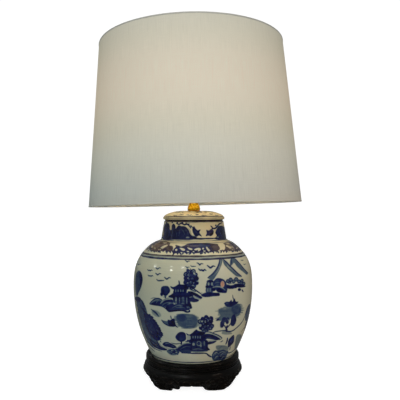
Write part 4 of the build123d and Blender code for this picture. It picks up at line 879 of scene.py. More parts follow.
def sleeve(name, rr, zz, cx, nu, closed=True, values=None, sharp=None, tilt=None, rows_uv=None):
    """A form turned from rows: rr and zz are (rows,) or (rows, nu) in mm, cx is the row's axis in X.
    closed joins the last row to the first."""
    rr = np.broadcast_to(np.asarray(rr, float).reshape(len(rr), -1), (len(rr), nu))
    zz = np.broadcast_to(np.asarray(zz, float).reshape(len(zz), -1), (len(zz), nu))
    cx = np.broadcast_to(np.asarray(cx, float).reshape(-1, 1), (len(rr), 1))
    phi = (np.arange(nu) / nu - 0.5) * 2 * PI
    x = cx + rr * np.sin(phi)[None]
    y = -rr * np.cos(phi)[None]
    v = np.stack([x, y, zz], -1).reshape(-1, 3)
    if tilt is not None:
        v = tilt(v)
    n = len(rr)
    j = np.arange(nu)
    jn = (j + 1) % nu
    rows = np.arange(n if closed else n - 1)
    up = (rows + 1) % n
    f = np.stack([(rows[:, None] * nu + j), (rows[:, None] * nu + jn), (up[:, None] * nu + jn), (up[:, None] * nu + j)], -1).reshape(-1, 4)
    if rows_uv is None:
        d = np.hypot(np.diff(rr.mean(1)), np.diff(zz.mean(1)))
        rows_uv = np.r_[0, np.cumsum(d)]
        last = rows_uv[-1] + math.hypot(rr[0].mean() - rr[-1].mean(), zz[0].mean() - zz[-1].mean())
        rows_uv = rows_uv / max(last, 1e-9)
    v0 = rows_uv[rows]
    v1 = np.where(up == 0, 1.0, rows_uv[up])
    u0 = np.broadcast_to((j / nu)[None], (len(rows), nu))
    u1 = np.broadcast_to(((j + 1) / nu)[None], (len(rows), nu))
    a0 = np.broadcast_to(v0[:, None], u0.shape)
    a1 = np.broadcast_to(v1[:, None], u0.shape)
    uv = np.stack([np.stack([u0, a0], -1), np.stack([u1, a0], -1), np.stack([u1, a1], -1), np.stack([u0, a1], -1)], -2).reshape(-1, 4, 2)
    return mesh_object(name, v, f, uv, values, True, sharp)


def rows_along(pts, step):
    """Points every step along straight runs, corners kept."""
    out = []
    for p, q in zip(pts[:-1], pts[1:]):
        n = max(int(math.ceil(math.dist(p, q) / step)), 1)
        for i in range(n):
            out.append((p[0] + (q[0] - p[0]) * i / n, p[1] + (q[1] - p[1]) * i / n))
    out.append(tuple(pts[-1]))
    return out


def sample(canvas_layer, canvas, phi, a):
    """Bilinear lookup of a painted layer."""
    u = (np.asarray(phi) / (2 * PI) + 0.5) * canvas.nu
    v = np.clip(np.asarray(a) / canvas.pitch, 0, canvas.nv - 1.001)
    u0 = np.floor(u).astype(int)
    v0 = np.floor(v).astype(int)
    fu, fv = u - u0, v - v0
    u0 %= canvas.nu
    u1 = (u0 + 1) % canvas.nu
    g = canvas_layer
    return (g[v0, u0] * (1 - fu) * (1 - fv) + g[v0, u1] * fu * (1 - fv) + g[v0 + 1, u0] * (1 - fu) * fv + g[v0 + 1, u1] * fu * fv)


LEAN = math.radians(-1.56)


def lean(v):
    """The shade, its stud and the finial lean a little to one side."""
    c, s = math.cos(LEAN), math.sin(LEAN)
    x, z = v[:, 0], v[:, 2] - 533.0
    return np.stack([x * c + z * s + BELLY_X, v[:, 1], -x * s + z * c + 533.0], -1)


def cheap_noise(phi, a, seed, scale):
    """Smooth unevenness, about -1 to 1, that closes round the turn."""
    rng = np.random.RandomState(seed)
    out = 0
    for k in range(7):
        f = rng.randint(1, 9) * (1 if k < 4 else 2)
        g = rng.uniform(-1, 1) * 2 * PI / scale
        out = out + np.sin(f * phi + g * a + rng.uniform(0, 6.28)) * rng.uniform(0.5, 1)
    return out / 4.0

# ------------------------------------------------------------------ materials
def lin(r, g, b):
    """sRGB 0-255 to scene linear."""
    def f(c):
        c /= 255.0
        return c / 12.92 if c <= 0.04045 else ((c + 0.055) / 1.055) ** 2.4
    return (f(r), f(g), f(b), 1.0)


class Mat:
    """A node material, built one node at a time."""

    def __init__(self, name, **socket_values):
        self.mat = bpy.data.materials.new(name)
        self.mat.use_nodes = True
        self.nt = self.mat.node_tree
        self.nt.nodes.clear()
        self.out = self.nt.nodes.new("ShaderNodeOutputMaterial")
        self.bsdf = self.nt.nodes.new("ShaderNodeBsdfPrincipled")
        self.nt.links.new(self.bsdf.outputs[0], self.out.inputs["Surface"])
        for k, v in socket_values.items():
            self.bsdf.inputs[k.replace("_", " ")].default_value = v
        self.coords = self.node("ShaderNodeTexCoord")
        self.obj = self.coords.outputs["Object"]
        self.uv = self.coords.outputs["UV"]

    def node(self, kind, ins=None, **props):
        n = self.nt.nodes.new(kind)
        for k, v in props.items():
            setattr(n, k, v)
        for k, v in (ins or {}).items():
            self.set(n.inputs[k], v)
        return n

    def set(self, socket, v):
        if isinstance(v, bpy.types.NodeSocket):
            self.nt.links.new(v, socket)
        else:
            socket.default_value = v

    def scaled(self, vec, s):
        return self.node("ShaderNodeVectorMath", {0: vec, 1: s}, operation="MULTIPLY").outputs[0]

    def noise(self, vec, scale, detail=4.0, rough=0.55, distort=0.0, dim="3D"):
        return self.node("ShaderNodeTexNoise", {"Vector": vec, "Scale": scale, "Detail": detail, "Roughness": rough, "Distortion": distort}).outputs["Fac"]

    def wave(self, vec, scale, distort=2.0, detail=2.0, direction="X", kind="BANDS", dscale=1.0):
        if kind == "RINGS":
            n = self.node("ShaderNodeTexWave", {"Vector": vec, "Scale": scale, "Distortion": distort, "Detail": detail, "Detail Scale": dscale}, wave_type=kind, rings_direction=direction)
        else:
            n = self.node("ShaderNodeTexWave", {"Vector": vec, "Scale": scale, "Distortion": distort, "Detail": detail, "Detail Scale": dscale}, wave_type=kind, bands_direction=direction)
        return n.outputs["Fac"]

    def voronoi(self, vec, scale, feature="F1", rand=1.0):
        return self.node("ShaderNodeTexVoronoi", {"Vector": vec, "Scale": scale, "Randomness": rand}, feature=feature).outputs["Distance"]

    def ramp(self, fac, stops, interp="LINEAR"):
        n = self.node("ShaderNodeValToRGB", {"Fac": fac})
        n.color_ramp.interpolation = interp
        e = n.color_ramp.elements
        while len(e) > 1:
            e.remove(e[-1])
        e[0].position, e[0].color = stops[0]
        for p, c in stops[1:]:
            x = e.new(p)
            x.color = c
        return n.outputs["Color"]

    def grey(self, fac, lo, hi, a=0.0, b=1.0, clamp=True):
        return self.node("ShaderNodeMapRange", {"Value": fac, "From Min": a, "From Max": b, "To Min": lo, "To Max": hi}, clamp=clamp).outputs[0]

    def mix(self, fac, a, b, mode="MIX"):
        n = self.node("ShaderNodeMix", data_type="RGBA", blend_type=mode)
        self.set(n.inputs[0], fac)
        self.set(n.inputs[6], a)
        self.set(n.inputs[7], b)
        return n.outputs[2]

    def math(self, op, a, b=0.0, c=None):
        n = self.node("ShaderNodeMath", {0: a, 1: b}, operation=op)
        if c is not None:
            self.set(n.inputs[2], c)
        return n.outputs[0]

    def attr(self, name):
        return self.node("ShaderNodeAttribute", attribute_name=name).outputs["Fac"]

    def bump(self, height, strength, distance, normal=None):
        n = self.node("ShaderNodeBump", {"Strength": strength, "Distance": distance, "Height": height})
        if normal is not None:
            self.set(n.inputs["Normal"], normal)
        return n.outputs[0]

    def finish(self, color=None, rough=None, normal=None, metallic=None, emission=None, strength=None):
        b = self.bsdf.inputs
        if color is not None:
            self.set(b["Base Color"], color)
        if rough is not None:
            self.set(b["Roughness"], rough)
        if normal is not None:
            self.set(b["Normal"], normal)
        if metallic is not None:
            self.set(b["Metallic"], metallic)
        if emission is not None:
            self.set(b["Emission Color"], emission)
            self.set(b["Emission Strength"], 1.0 if strength is None else strength)
        return self.mat


def glaze_material(name, lid=False):
    """Blue painting under a clear greyish glaze, creamier towards the top, partly its own colour and partly painted
    warm lamp light.
    """
    m = Mat(name, IOR=1.52, Coat_Weight=0.0)
    o = m.obj
    pig = m.attr("pigment")
    tint = m.attr("tint")
    spot = m.attr("spot")
    # the brush load varies, so the blue is patchy inside a stroke
    load = m.noise(m.scaled(o, (1, 1, 1)), 80.0, 5.0, 0.6, 0.4)
    fine = m.noise(o, 420.0, 3.0, 0.6)
    depth = m.math("MULTIPLY", pig, m.grey(load, 0.74, 1.16, 0.25, 0.75))
    depth = m.math("MULTIPLY", depth, m.grey(fine, 0.93, 1.05, 0.2, 0.8))
    blue = m.ramp(depth, [(0.0, (1, 1, 1, 1)), (0.16, lin(190, 201, 213)), (0.36, lin(102, 126, 164)), (0.60, lin(52, 74, 138)), (0.80, lin(28, 40, 122)),
                          (0.92, lin(17, 24, 102)), (1.0, lin(9, 12, 72))])
    plum = m.ramp(depth, [(0.0, (1, 1, 1, 1)), (0.3, lin(170, 150, 150)), (0.62, lin(96, 80, 92)), (0.84, lin(62, 48, 66)), (1.0, lin(30, 20, 40))])
    ink = m.mix(m.math("MULTIPLY", tint, 0.75), blue, plum)
    # colour of the glaze: grey green low down and cloudy all over; creamier near the top, partly the glaze's own colour
    # and partly painted warm light from the bulb above on the shoulder, neck and lid
    z = m.node("ShaderNodeSeparateXYZ", {"Vector": o}).outputs[2]
    cloud = m.noise(o, 9.0, 3.0, 0.5)
    speck = m.noise(o, 900.0, 2.0, 0.5)
    low = m.mix(m.grey(cloud, 0.0, 1.0, 0.3, 0.7), lin(196, 203, 186), lin(208, 206, 178))
    top_cream_lamp_lit = m.mix(m.grey(cloud, 0.0, 1.0, 0.3, 0.7), lin(*((250, 238, 196) if lid else (219, 211, 177))), lin(*((226, 212, 164) if lid else (203, 193, 156))))
    # from the shoulder up (on the lid nearly all over) the ground turns creamier: partly painted lamp light
    warm = m.grey(z, 0.0, 1.0, 0.238, 0.285) if not lid else m.grey(z, 0.9, 1.0, 0.30, 0.33)
    ground = m.mix(warm, low, top_cream_lamp_lit)
    ground = m.mix(m.grey(speck, 0.0, 0.25, 0.66, 0.74), ground, lin(120, 108, 84))
    colour = m.mix(1.0, ground, ink, "MULTIPLY")
    colour = m.mix(m.math("MULTIPLY", spot, 0.62), colour, lin(206, 132, 104))
    # the foot's unglazed rim
    foot = m.grey(z, 1.0, 0.0, 0.0518, 0.0532)
    colour = m.mix(foot, colour, lin(186, 172, 146))
    ripple = m.noise(o, 26.0, 2.0, 0.5)
    peel = m.noise(o, 260.0, 2.0, 0.5)
    height = m.math("ADD", m.math("MULTIPLY", ripple, 1.0), m.math("MULTIPLY", peel, 0.02))
    height = m.math("ADD", height, m.math("MULTIPLY", depth, 0.008))
    rough = m.math("ADD", m.grey(fine, 0.04, 0.08, 0.3, 0.7), m.math("MULTIPLY", foot, 0.5))
    return m.finish(colour, rough, m.bump(height, 0.35, 0.0010))


def wood_material(name, carved=True):
    """Near-black lacquered hardwood: brown shows on worn edges; hollows, grooves and inner faces are darkened, partly
    wax and partly painted shade.
    """
    m = Mat(name, IOR=1.45, Specular_IOR_Level=0.19)
    o = m.obj
    grain = m.noise(m.scaled(o, (34, 34, 260)), 1.0, 5.0, 0.62, 0.6)
    pores = m.noise(m.scaled(o, (900, 900, 90)), 1.0, 3.0, 0.6)
    patch = m.noise(o, 34.0, 4.0, 0.6)
    base = m.ramp(grain, [(0.25, lin(6, 5, 5)), (0.5, lin(9, 8, 7)), (0.75, lin(15, 11, 9))])
    base = m.mix(m.grey(patch, 0.0, 0.55, 0.35, 0.72), base, lin(10, 11, 9))
    base = m.mix(m.grey(pores, 0.6, 0.0, 0.2, 0.42), base, lin(4, 3, 3))
    wear = m.attr("wear")
    base = m.mix(m.grey(wear, 0.0, 0.65, 0.55, 1.0), base, lin(34, 27, 20))
    # darker in hollows and grooves: partly wax, partly painted shade
    wax_and_shade = m.attr("wax_and_shade")
    base = m.mix(m.math("MULTIPLY", wax_and_shade, 0.8), base, lin(3, 3, 3))
    rough = m.math("ADD", m.grey(patch, 0.13, 0.24, 0.3, 0.7), m.math("MULTIPLY", wax_and_shade, 0.35))
    height = m.math("ADD", m.math("MULTIPLY", grain, 0.5), m.math("MULTIPLY", pores, 0.35))
    height = m.math("ADD", height, m.math("MULTIPLY", m.noise(o, 240.0, 3.0, 0.6), 0.6))
    return m.finish(base, rough, m.bump(height, 0.6, 0.0005))


def brass_material(name, dark=0.0, rough=(0.20, 0.34), hue=(254, 207, 58)):
    m = Mat(name, Metallic=1.0)
    o = m.obj
    tone = m.noise(o, 130.0, 4.0, 0.6)
    spin = m.noise(m.scaled(o, (60, 60, 2600)), 1.0, 3.0, 0.5)
    a = lin(*hue)
    b = lin(hue[0] * 0.94, hue[1] * 0.86, hue[2] * 0.50)
    c = lin(128, 76, 26)
    col = m.mix(m.grey(tone, 0.0, 1.0, 0.35, 0.72), a, b)
    spots = m.noise(o, 420.0, 2.0, 0.6)
    col = m.mix(m.grey(spots, 0.0, 0.5 + 0.4 * dark, 0.62 - 0.2 * dark, 0.80), col, c)
    if dark:
        col = m.mix(dark, col, lin(84, 48, 18))
    r = m.math("ADD", m.grey(tone, rough[0], rough[1], 0.3, 0.7), m.grey(spots, 0.0, 0.2, 0.6, 0.8))
    h = m.math("ADD", m.math("MULTIPLY", spin, 0.6), m.math("MULTIPLY", spots, 0.4))
    return m.finish(col, r, m.bump(h, 0.25, 0.0002))


def steel_material(name, tone=(178, 178, 172), rough=(0.22, 0.38), stretch=(60, 60, 1800)):
    m = Mat(name, Metallic=1.0)
    o = m.obj
    streak = m.noise(m.scaled(o, stretch), 1.0, 3.0, 0.55)
    cloud = m.noise(o, 150.0, 3.0, 0.6)
    col = m.mix(m.grey(cloud, 0.0, 1.0, 0.3, 0.7), lin(*tone), lin(*(t * 0.82 for t in tone)))
    col = m.mix(m.grey(m.noise(o, 500.0, 2.0, 0.6), 0.0, 0.6, 0.66, 0.82), col, lin(92, 78, 60))
    return m.finish(col, m.grey(streak, rough[0], rough[1], 0.25, 0.75), m.bump(streak, 0.3, 0.00015))


def plain_material(name, tone, rough=(0.35, 0.5), grain=300.0, depth=0.0002, vary=0.12, **sockets):
    m = Mat(name, **sockets)
    o = m.obj
    n = m.noise(o, grain, 4.0, 0.6)
    c = m.noise(o, grain * 0.12, 3.0, 0.6)
    col = m.mix(m.grey(c, 0.0, 1.0, 0.3, 0.7), lin(*tone), lin(*(t * (1 - vary) for t in tone)))
    col = m.mix(m.grey(n, 0.0, 0.3, 0.6, 0.8), col, lin(*(t * (1 - 2 * vary) for t in tone)))
    return m.finish(col, m.grey(n, rough[0], rough[1], 0.25, 0.75), m.bump(n, 0.4, depth))


def felt_material(name):
    m = Mat(name, Sheen_Weight=0.5, Sheen_Roughness=0.5)
    o = m.obj
    fibre = m.noise(o, 1500.0, 4.0, 0.7, 1.0)
    tuft = m.noise(o, 300.0, 3.0, 0.6)
    col = m.mix(m.grey(fibre, 0.0, 1.0, 0.3, 0.7), lin(46, 42, 38), lin(78, 72, 64))
    return m.finish(col, m.grey(tuft, 0.85, 1.0, 0.3, 0.7), m.bump(m.math("ADD", fibre, tuft), 0.9, 0.0006))


def linen_material(name, lit=True):
    """Off-white linen on a stiff backing: threads, slubs and the soft glow of the lamp behind it."""
    m = Mat(name, Specular_IOR_Level=0.15)
    mm = m.scaled(m.uv, (1210.0, 306.0, 1.0))            # round the shade and up it, in millimetres
    warp = m.noise(m.scaled(mm, (1.15, 0.030, 1.0)), 1.0, 3.0, 0.6)      # upright threads
    warp_fine = m.noise(m.scaled(mm, (2.6, 0.05, 1.0)), 1.0, 2.0, 0.5)
    weft = m.noise(m.scaled(mm, (0.035, 1.6, 1.0)), 1.0, 3.0, 0.6)
    slub = m.noise(m.scaled(mm, (0.55, 0.012, 1.0)), 1.0, 2.0, 0.5)
    sl = m.grey(slub, 0.0, 1.0, 0.60, 0.72)
    fleck = m.grey(m.noise(m.scaled(mm, (0.5, 0.25, 1.0)), 1.0, 2.0, 0.5), 0.0, 1.0, 0.70, 0.80)
    tone = m.math("ADD", m.math("MULTIPLY", warp, 0.62), m.math("MULTIPLY", weft, 0.38))
    col = m.mix(m.grey(tone, 0.0, 1.0, 0.32, 0.68), lin(212, 208, 195), lin(226, 222, 209))
    col = m.mix(m.math("MULTIPLY", sl, 0.16), col, lin(186, 178, 158))
    col = m.mix(m.math("MULTIPLY", fleck, 0.12), col, lin(176, 164, 140))
    height = m.math("ADD", m.math("MULTIPLY", warp_fine, 0.6), m.math("MULTIPLY", weft, 0.4))
    height = m.math("ADD", height, m.math("MULTIPLY", sl, 0.5))
    normal = m.bump(height, 0.55, 0.0004)
    if not lit:
        return m.finish(col, m.grey(tone, 0.72, 0.92, 0.3, 0.7), normal)
    glow = m.attr("glow")
    thread = m.grey(m.math("ADD", m.math("MULTIPLY", warp, 0.5), m.math("MULTIPLY", warp_fine, 0.5)), 0.94, 1.05, 0.3, 0.7)
    light = m.math("MULTIPLY", glow, thread)
    em = m.ramp(light, [(0.0, (0, 0, 0, 1)), (0.28, (0.074, 0.096, 0.096, 1)), (0.62, (0.180, 0.186, 0.152, 1)), (0.82, (0.242, 0.224, 0.160, 1)), (1.0, (0.316, 0.262, 0.186, 1))])
    return m.finish(col, m.grey(tone, 0.72, 0.92, 0.3, 0.7), normal, emission=em, strength=1.0)


def liner_material(name):
    m = Mat(name, IOR=1.45)
    o = m.obj
    n = m.noise(o, 60.0, 4.0, 0.6)
    f = m.noise(m.scaled(o, (420, 420, 30)), 1.0, 3.0, 0.6)
    col = m.mix(m.grey(n, 0.0, 1.0, 0.3, 0.7), lin(238, 232, 214), lin(228, 220, 198))
    col = m.mix(m.grey(f, 0.0, 0.25, 0.4, 0.8), col, lin(214, 204, 178))
    return m.finish(col, m.grey(n, 0.35, 0.5, 0.3, 0.7), m.bump(f, 0.4, 0.0003))


def bulb_material(name):
    m = Mat(name, IOR=1.45)
    o = m.obj
    n = m.noise(o, 90.0, 3.0, 0.6)
    col = m.mix(m.grey(n, 0.0, 1.0, 0.3, 0.7), lin(250, 244, 228), lin(240, 228, 204))
    em = m.mix(m.grey(n, 0.0, 1.0, 0.3, 0.7), (1.0, 0.80, 0.50, 1), (1.0, 0.74, 0.42, 1))
    return m.finish(col, m.grey(n, 0.30, 0.42, 0.3, 0.7), m.bump(n, 0.1, 0.0003), emission=em, strength=1.6)

# ------------------------------------------------------------------ the jar, painted
def straight(rows):
    """Stacks (radius, height, axis X) rows into three arrays."""
    q = np.array(rows, float)
    return q[:, 0], q[:, 1], q[:, 2]


def make_jar(mat):
    c = paint_jar()
    nu, step = 1000, 0.65
    a = np.linspace(0, PA[-1], int(PA[-1] / step))
    r, z = np.interp(a, PA, PR), np.interp(a, PA, PZ)
    low = [(6.5, 54.0, 0.0), (20.0, 54.0, -1.2), (45.0, 54.0, BELLY_X), (69.6, 54.0, BELLY_X), (70.2, 53.6, BELLY_X), (70.6, 51.9, BELLY_X),
           (71.0, 51.2, BELLY_X), (71.6, 51.0, BELLY_X), (77.2, 51.0, BELLY_X), (78.2, 51.3, BELLY_X), (78.9, 52.0, BELLY_X)]
    top = [(57.0, 309.3, 0.0), (54.4, 309.3, 0.0), (53.9, 309.0, 0.0), (54.0, 308.0, 0.0), (56.0, 291.0, 0.0), (58.2, 272.0, 0.0), (60.0, 268.0, BELLY_X)]
    wall = [(72.0, 263.2), (83.4, 255.2), (96.2, 241.0), (103.9, 226.6), (107.8, 212.4), (109.5, 186.0), (107.7, 156.0), (103.9, 133.2), (97.9, 110.0),
            (89.3, 87.3), (81.0, 68.0), (72.0, 60.5)]
    wall = [(x, y, BELLY_X) for x, y in rows_along(wall, 8.0)]
    base = [(66.0, 59.5, BELLY_X), (40.0, 59.5, BELLY_X), (20.0, 59.5, -1.2), (6.5, 59.5, 0.0)]
    lr, lz, lx = straight(low)
    ir, iz, ix = straight(top + wall + base)
    phi = (np.arange(nu) / nu - 0.5) * 2 * PI
    # the wall was thrown by hand: shallow turning rings and a slight unevenness
    A, P = np.meshgrid(a, phi, indexing="ij")
    fade = np.clip(np.minimum(A, PA[-1] - A) / 12.0, 0, 1)
    wob = (0.16 * cheap_noise(P, A, 3, 70.0) + 0.05 * np.sin(A * 1.35 + 0.3 * np.sin(2 * P)) * np.clip((A - 20) / 40, 0, 1)) * fade
    full = 0.6 * np.exp(-((z - 95.0) / 45.0) ** 2) - 0.5 * np.exp(-((z - 262.0) / 22.0) ** 2)
    rr = np.vstack([np.repeat(lr[:, None], nu, 1), r[:, None] + wob + full[:, None] * fade, np.repeat(ir[:, None], nu, 1)])
    zz = np.r_[lz, z, iz]
    xx = np.r_[lx, axis_x(z), ix]
    xx = np.where(xx < -1.0, xx + 0.7, xx)
    zz = np.repeat(zz[:, None], nu, 1)
    vals = {}
    for key, layer in (("pigment", c.d), ("spot", c.p), ("tint", c.w)):
        g = np.zeros((len(rr), nu), np.float32)
        g[len(low):len(low) + len(a)] = sample(layer, c, P, A)
        vals[key] = g
    v = np.r_[np.linspace(0, 0.035, len(low), endpoint=False), np.linspace(0.035, 0.90, len(a), endpoint=False), np.linspace(0.90, 1.0, len(ir) + 1)[:-1]]
    o = sleeve("jar", rr, zz, xx, nu, True, vals, None, None, v)
    o.data.materials.append(mat)
    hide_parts("jar_body")
    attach(o, "lamp_base")
    return o


# ------------------------------------------------------------------ the lid
LID_OUT = np.vstack([smooth_line([(56.3, 309.3), (56.1, 310.6), (56.3, 311.9), (57.4, 312.5), (58.8, 312.8), (59.5, 313.5), (59.6, 314.6), (59.5, 316.2), (58.9, 317.3), (58.0, 317.9)], 0.3)[:-1],
                     smooth_line([(58.0, 317.9), (58.0, 318.5), (57.2, 319.5), (55.6, 320.8), (52.0, 322.8), (48.0, 324.5), (41.0, 326.6), (32.5, 328.3), (24.0, 328.9), (16.0, 328.7),
                                  (12.0, 328.5)], 0.3)])


def make_lid(mat):
    d = np.r_[0, np.cumsum(np.linalg.norm(np.diff(LID_OUT, axis=0), axis=1))]
    c = Canvas(d, LID_OUT[:, 0], 1600, 0.3)
    za, ra = np.maximum.accumulate(LID_OUT[:, 1] + 1e-5 * np.arange(len(LID_OUT))), LID_OUT[:, 0]

    def lid_view(x, y):
        """Seen from the front: layout point to (phi, a) on the lid."""
        x, y = np.asarray(x, float), np.asarray(y, float)
        yy = np.full_like(x, -50.0)
        for _ in range(24):
            depth = 955.0 + yy
            wx = 12.0 + (x - 200.0) * depth / 489.0
            wz = np.clip(330.0 + (210.3 - y) * depth / 489.0, 309.3, 328.8)
            r = np.interp(wz, za, ra)
            q = np.clip(wx / r, -0.985, 0.985)
            yy = 0.5 * yy - 0.5 * r * np.sqrt(1 - q * q)
        return np.arcsin(q), np.interp(wz, za, d)

    paint_lid(c, lid_view, d, ra, za)
    nu, step = 720, 0.45
    a = np.linspace(0, d[-1], int(d[-1] / step))
    r, z = np.interp(a, d, ra), np.interp(a, d, za)
    inner = [(9.0, 328.5), (6.2, 328.5), (5.7, 328.2), (5.7, 322.5), (12.0, 322.4), (24.0, 320.4), (34.0, 317.5), (46.0, 311.0), (46.2, 301.4), (46.6, 301.0),
             (50.2, 301.0), (50.8, 301.4), (51.6, 309.0), (52.0, 309.3), (56.0, 309.3)]
    inner = np.array(rows_along(inner, 3.0))
    phi = (np.arange(nu) / nu - 0.5) * 2 * PI
    A, P = np.meshgrid(a, phi, indexing="ij")
    fade = np.clip(np.minimum(A, d[-1] - A) / 5.0, 0, 1)
    wob = 0.12 * cheap_noise(P, A, 8, 40.0) * fade
    rr = np.vstack([r[:, None] + wob, np.repeat(inner[:, :1], nu, 1)])
    zz = np.vstack([z[:, None] + 0.10 * cheap_noise(P, A, 9, 40.0) * fade, np.repeat(inner[:, 1:], nu, 1)])
    vals = {}
    for key, layer in (("pigment", c.d), ("spot", c.p), ("tint", c.w)):
        g = np.zeros((len(rr), nu), np.float32)
        g[:len(a)] = sample(layer, c, P, A)
        vals[key] = g
    v = np.r_[np.linspace(0, 0.8, len(a), endpoint=False), np.linspace(0.8, 1.0, len(inner) + 1)[:-1]]
    o = sleeve("lid", rr, zz, 0.0, nu, True, vals, None, None, v)
    o.data.materials.append(mat)
    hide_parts("jar_lid")
    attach(o, "lamp_base")
    return o


def paint_lid(c, view, d, ra, za):
    c.put, c.k = view, 1.75
    # hooked marks among cloud scrolls, seen almost edge on
    for x, y, sc in ((189.0, 215.0, 1.5), (203.8, 215.6, 1.2), (174.6, 215.6, 0.9), (217.0, 215.4, 0.9), (211.0, 213.9, 0.8), (181.4, 214.2, 0.9), (197.0, 214.4, 0.7)):
        c.line([(x - 2.2 * sc, y + 0.1), (x - 0.9 * sc, y - 0.35), (x + 0.3 * sc, y + 0.3), (x + 1.5 * sc, y - 0.2), (x + 2.2 * sc, y + 0.5)], 0.62, 0.95, taper=(0.6, 0.5))
        c.line([(x - 1.4 * sc, y + 0.7), (x + 0.2 * sc, y + 0.2), (x + 1.2 * sc, y + 0.8)], 0.5, 0.85, taper=(0.6, 0.5))
    for x0, x1, y in ((170.0, 182.0, 214.4), (194.0, 200.0, 212.9), (206.0, 214.0, 214.8), (176.0, 184.0, 213.0)):
        c.line([(x0, y + 0.6), ((x0 + x1) / 2, y - 0.2), (x1, y + 0.2)], 0.42, 0.42, taper=(0.5, 0.4))
        c.line([(x0, y + 0.6), ((x0 + x1) / 2, y - 0.2), (x1, y + 0.2)], 0.6, 0.8, layer="w", mode="over", taper=(0.5, 0.4))
    def at(phi_deg, r):
        def put(x, y):
            a0 = float(np.interp(-r, -ra[60:], d[60:]))
            return math.radians(phi_deg) + np.asarray(x, float) / r, a0 + np.asarray(y, float)
        return put
    # flower heads and scrolls on the dome
    for k in range(6):
        c.put, c.k = at(k * 60 + 14, 38.0), 1.0
        for t in range(5):
            an = t * 2 * PI / 5 + 0.4
            c.blob(4.6 * math.cos(an), 4.6 * math.sin(an), 3.0, 2.3, 0.80, turn=an)
            c.line([(1.4 * math.cos(an), 1.4 * math.sin(an)), (6.4 * math.cos(an), 6.4 * math.sin(an))], 0.5, 0.45, mode="over", taper=(0.5, 0.3))
        c.blob(0, 0, 1.5, 1.5, 0.25, mode="over")
        c.put = at(k * 60 + 44, 38.0)
        c.line([(-9, -3), (-5, 2), (0, 3.4), (4, 1), (3, -2.4), (0, -2), (0.4, 0.2)], 1.3, 0.82, taper=(0.5, 0.4))
        c.line([(0, 3.4), (5, 5.4), (9, 3.6), (10, 0.4)], 1.1, 0.78, taper=(0.7, 0.4))
        for x, y in ((-6, 4.6), (-2.6, 6.4), (6.4, -2.2), (9.6, 6.6), (-8.0, -6.0)):
            c.blob(x, y, 1.9, 0.9, 0.76, turn=0.5 * x)
        c.put = at(k * 60, 21.0)
        c.line([(-4, 0), (-1, 2.2), (2, 0.4), (5, 2)], 1.0, 0.74, taper=(0.5, 0.4))
    phi = np.linspace(-PI, PI, c.nu, endpoint=False)
    rows = np.arange(c.nv)[:, None] * c.pitch
    seat = float(d[np.argmax(za > 318.2)])
    # the wide ring at 1.6 along the profile, low on the rim, is painted shadow of the gap between lid and neck
    for a0, wid, val, tint in ((seat, 1.7, 0.92, 0.8), (seat + 2.4, 0.45, 0.4, 0.3), (1.6, 3.6, 1.0, 0.9), (seat - 2.6, 0.6, 0.34, 0.8), (d[-1] - 3.6, 0.9, 0.8, 0.0), (d[-1] - 5.6, 0.5, 0.7, 0.0), (seat - 3.4, 2.4, 0.20, 0.6)):
        a0 = a0 + 0.12 * np.sin(5 * phi + a0)
        m = np.clip((wid * (1 + 0.2 * np.sin(11 * phi)) * 0.5 - np.abs(rows - a0[None])) / 0.3 + 0.5, 0, 1)
        np.maximum(c.d, (m * val).astype(np.float32), out=c.d)
        np.maximum(c.w, (m * tint).astype(np.float32), out=c.w)
    # the rim: a diluted wash with short strokes
    c.put, c.k = (lambda x, y: (np.asarray(x, float), np.asarray(y, float))), 1.0
    rng = np.random.RandomState(12)
    p = -PI
    while p < PI:
        w = rng.uniform(1.5, 4.5)
        c.line([(p, 2.2 + rng.uniform(-0.6, 0.6)), (p + w / 120.0, 4.2 + rng.uniform(-0.6, 0.6))], 0.8, rng.uniform(0.2, 0.45), taper=(0.6, 0.5), smooth=False)
        p += rng.uniform(6, 13) / 59.3


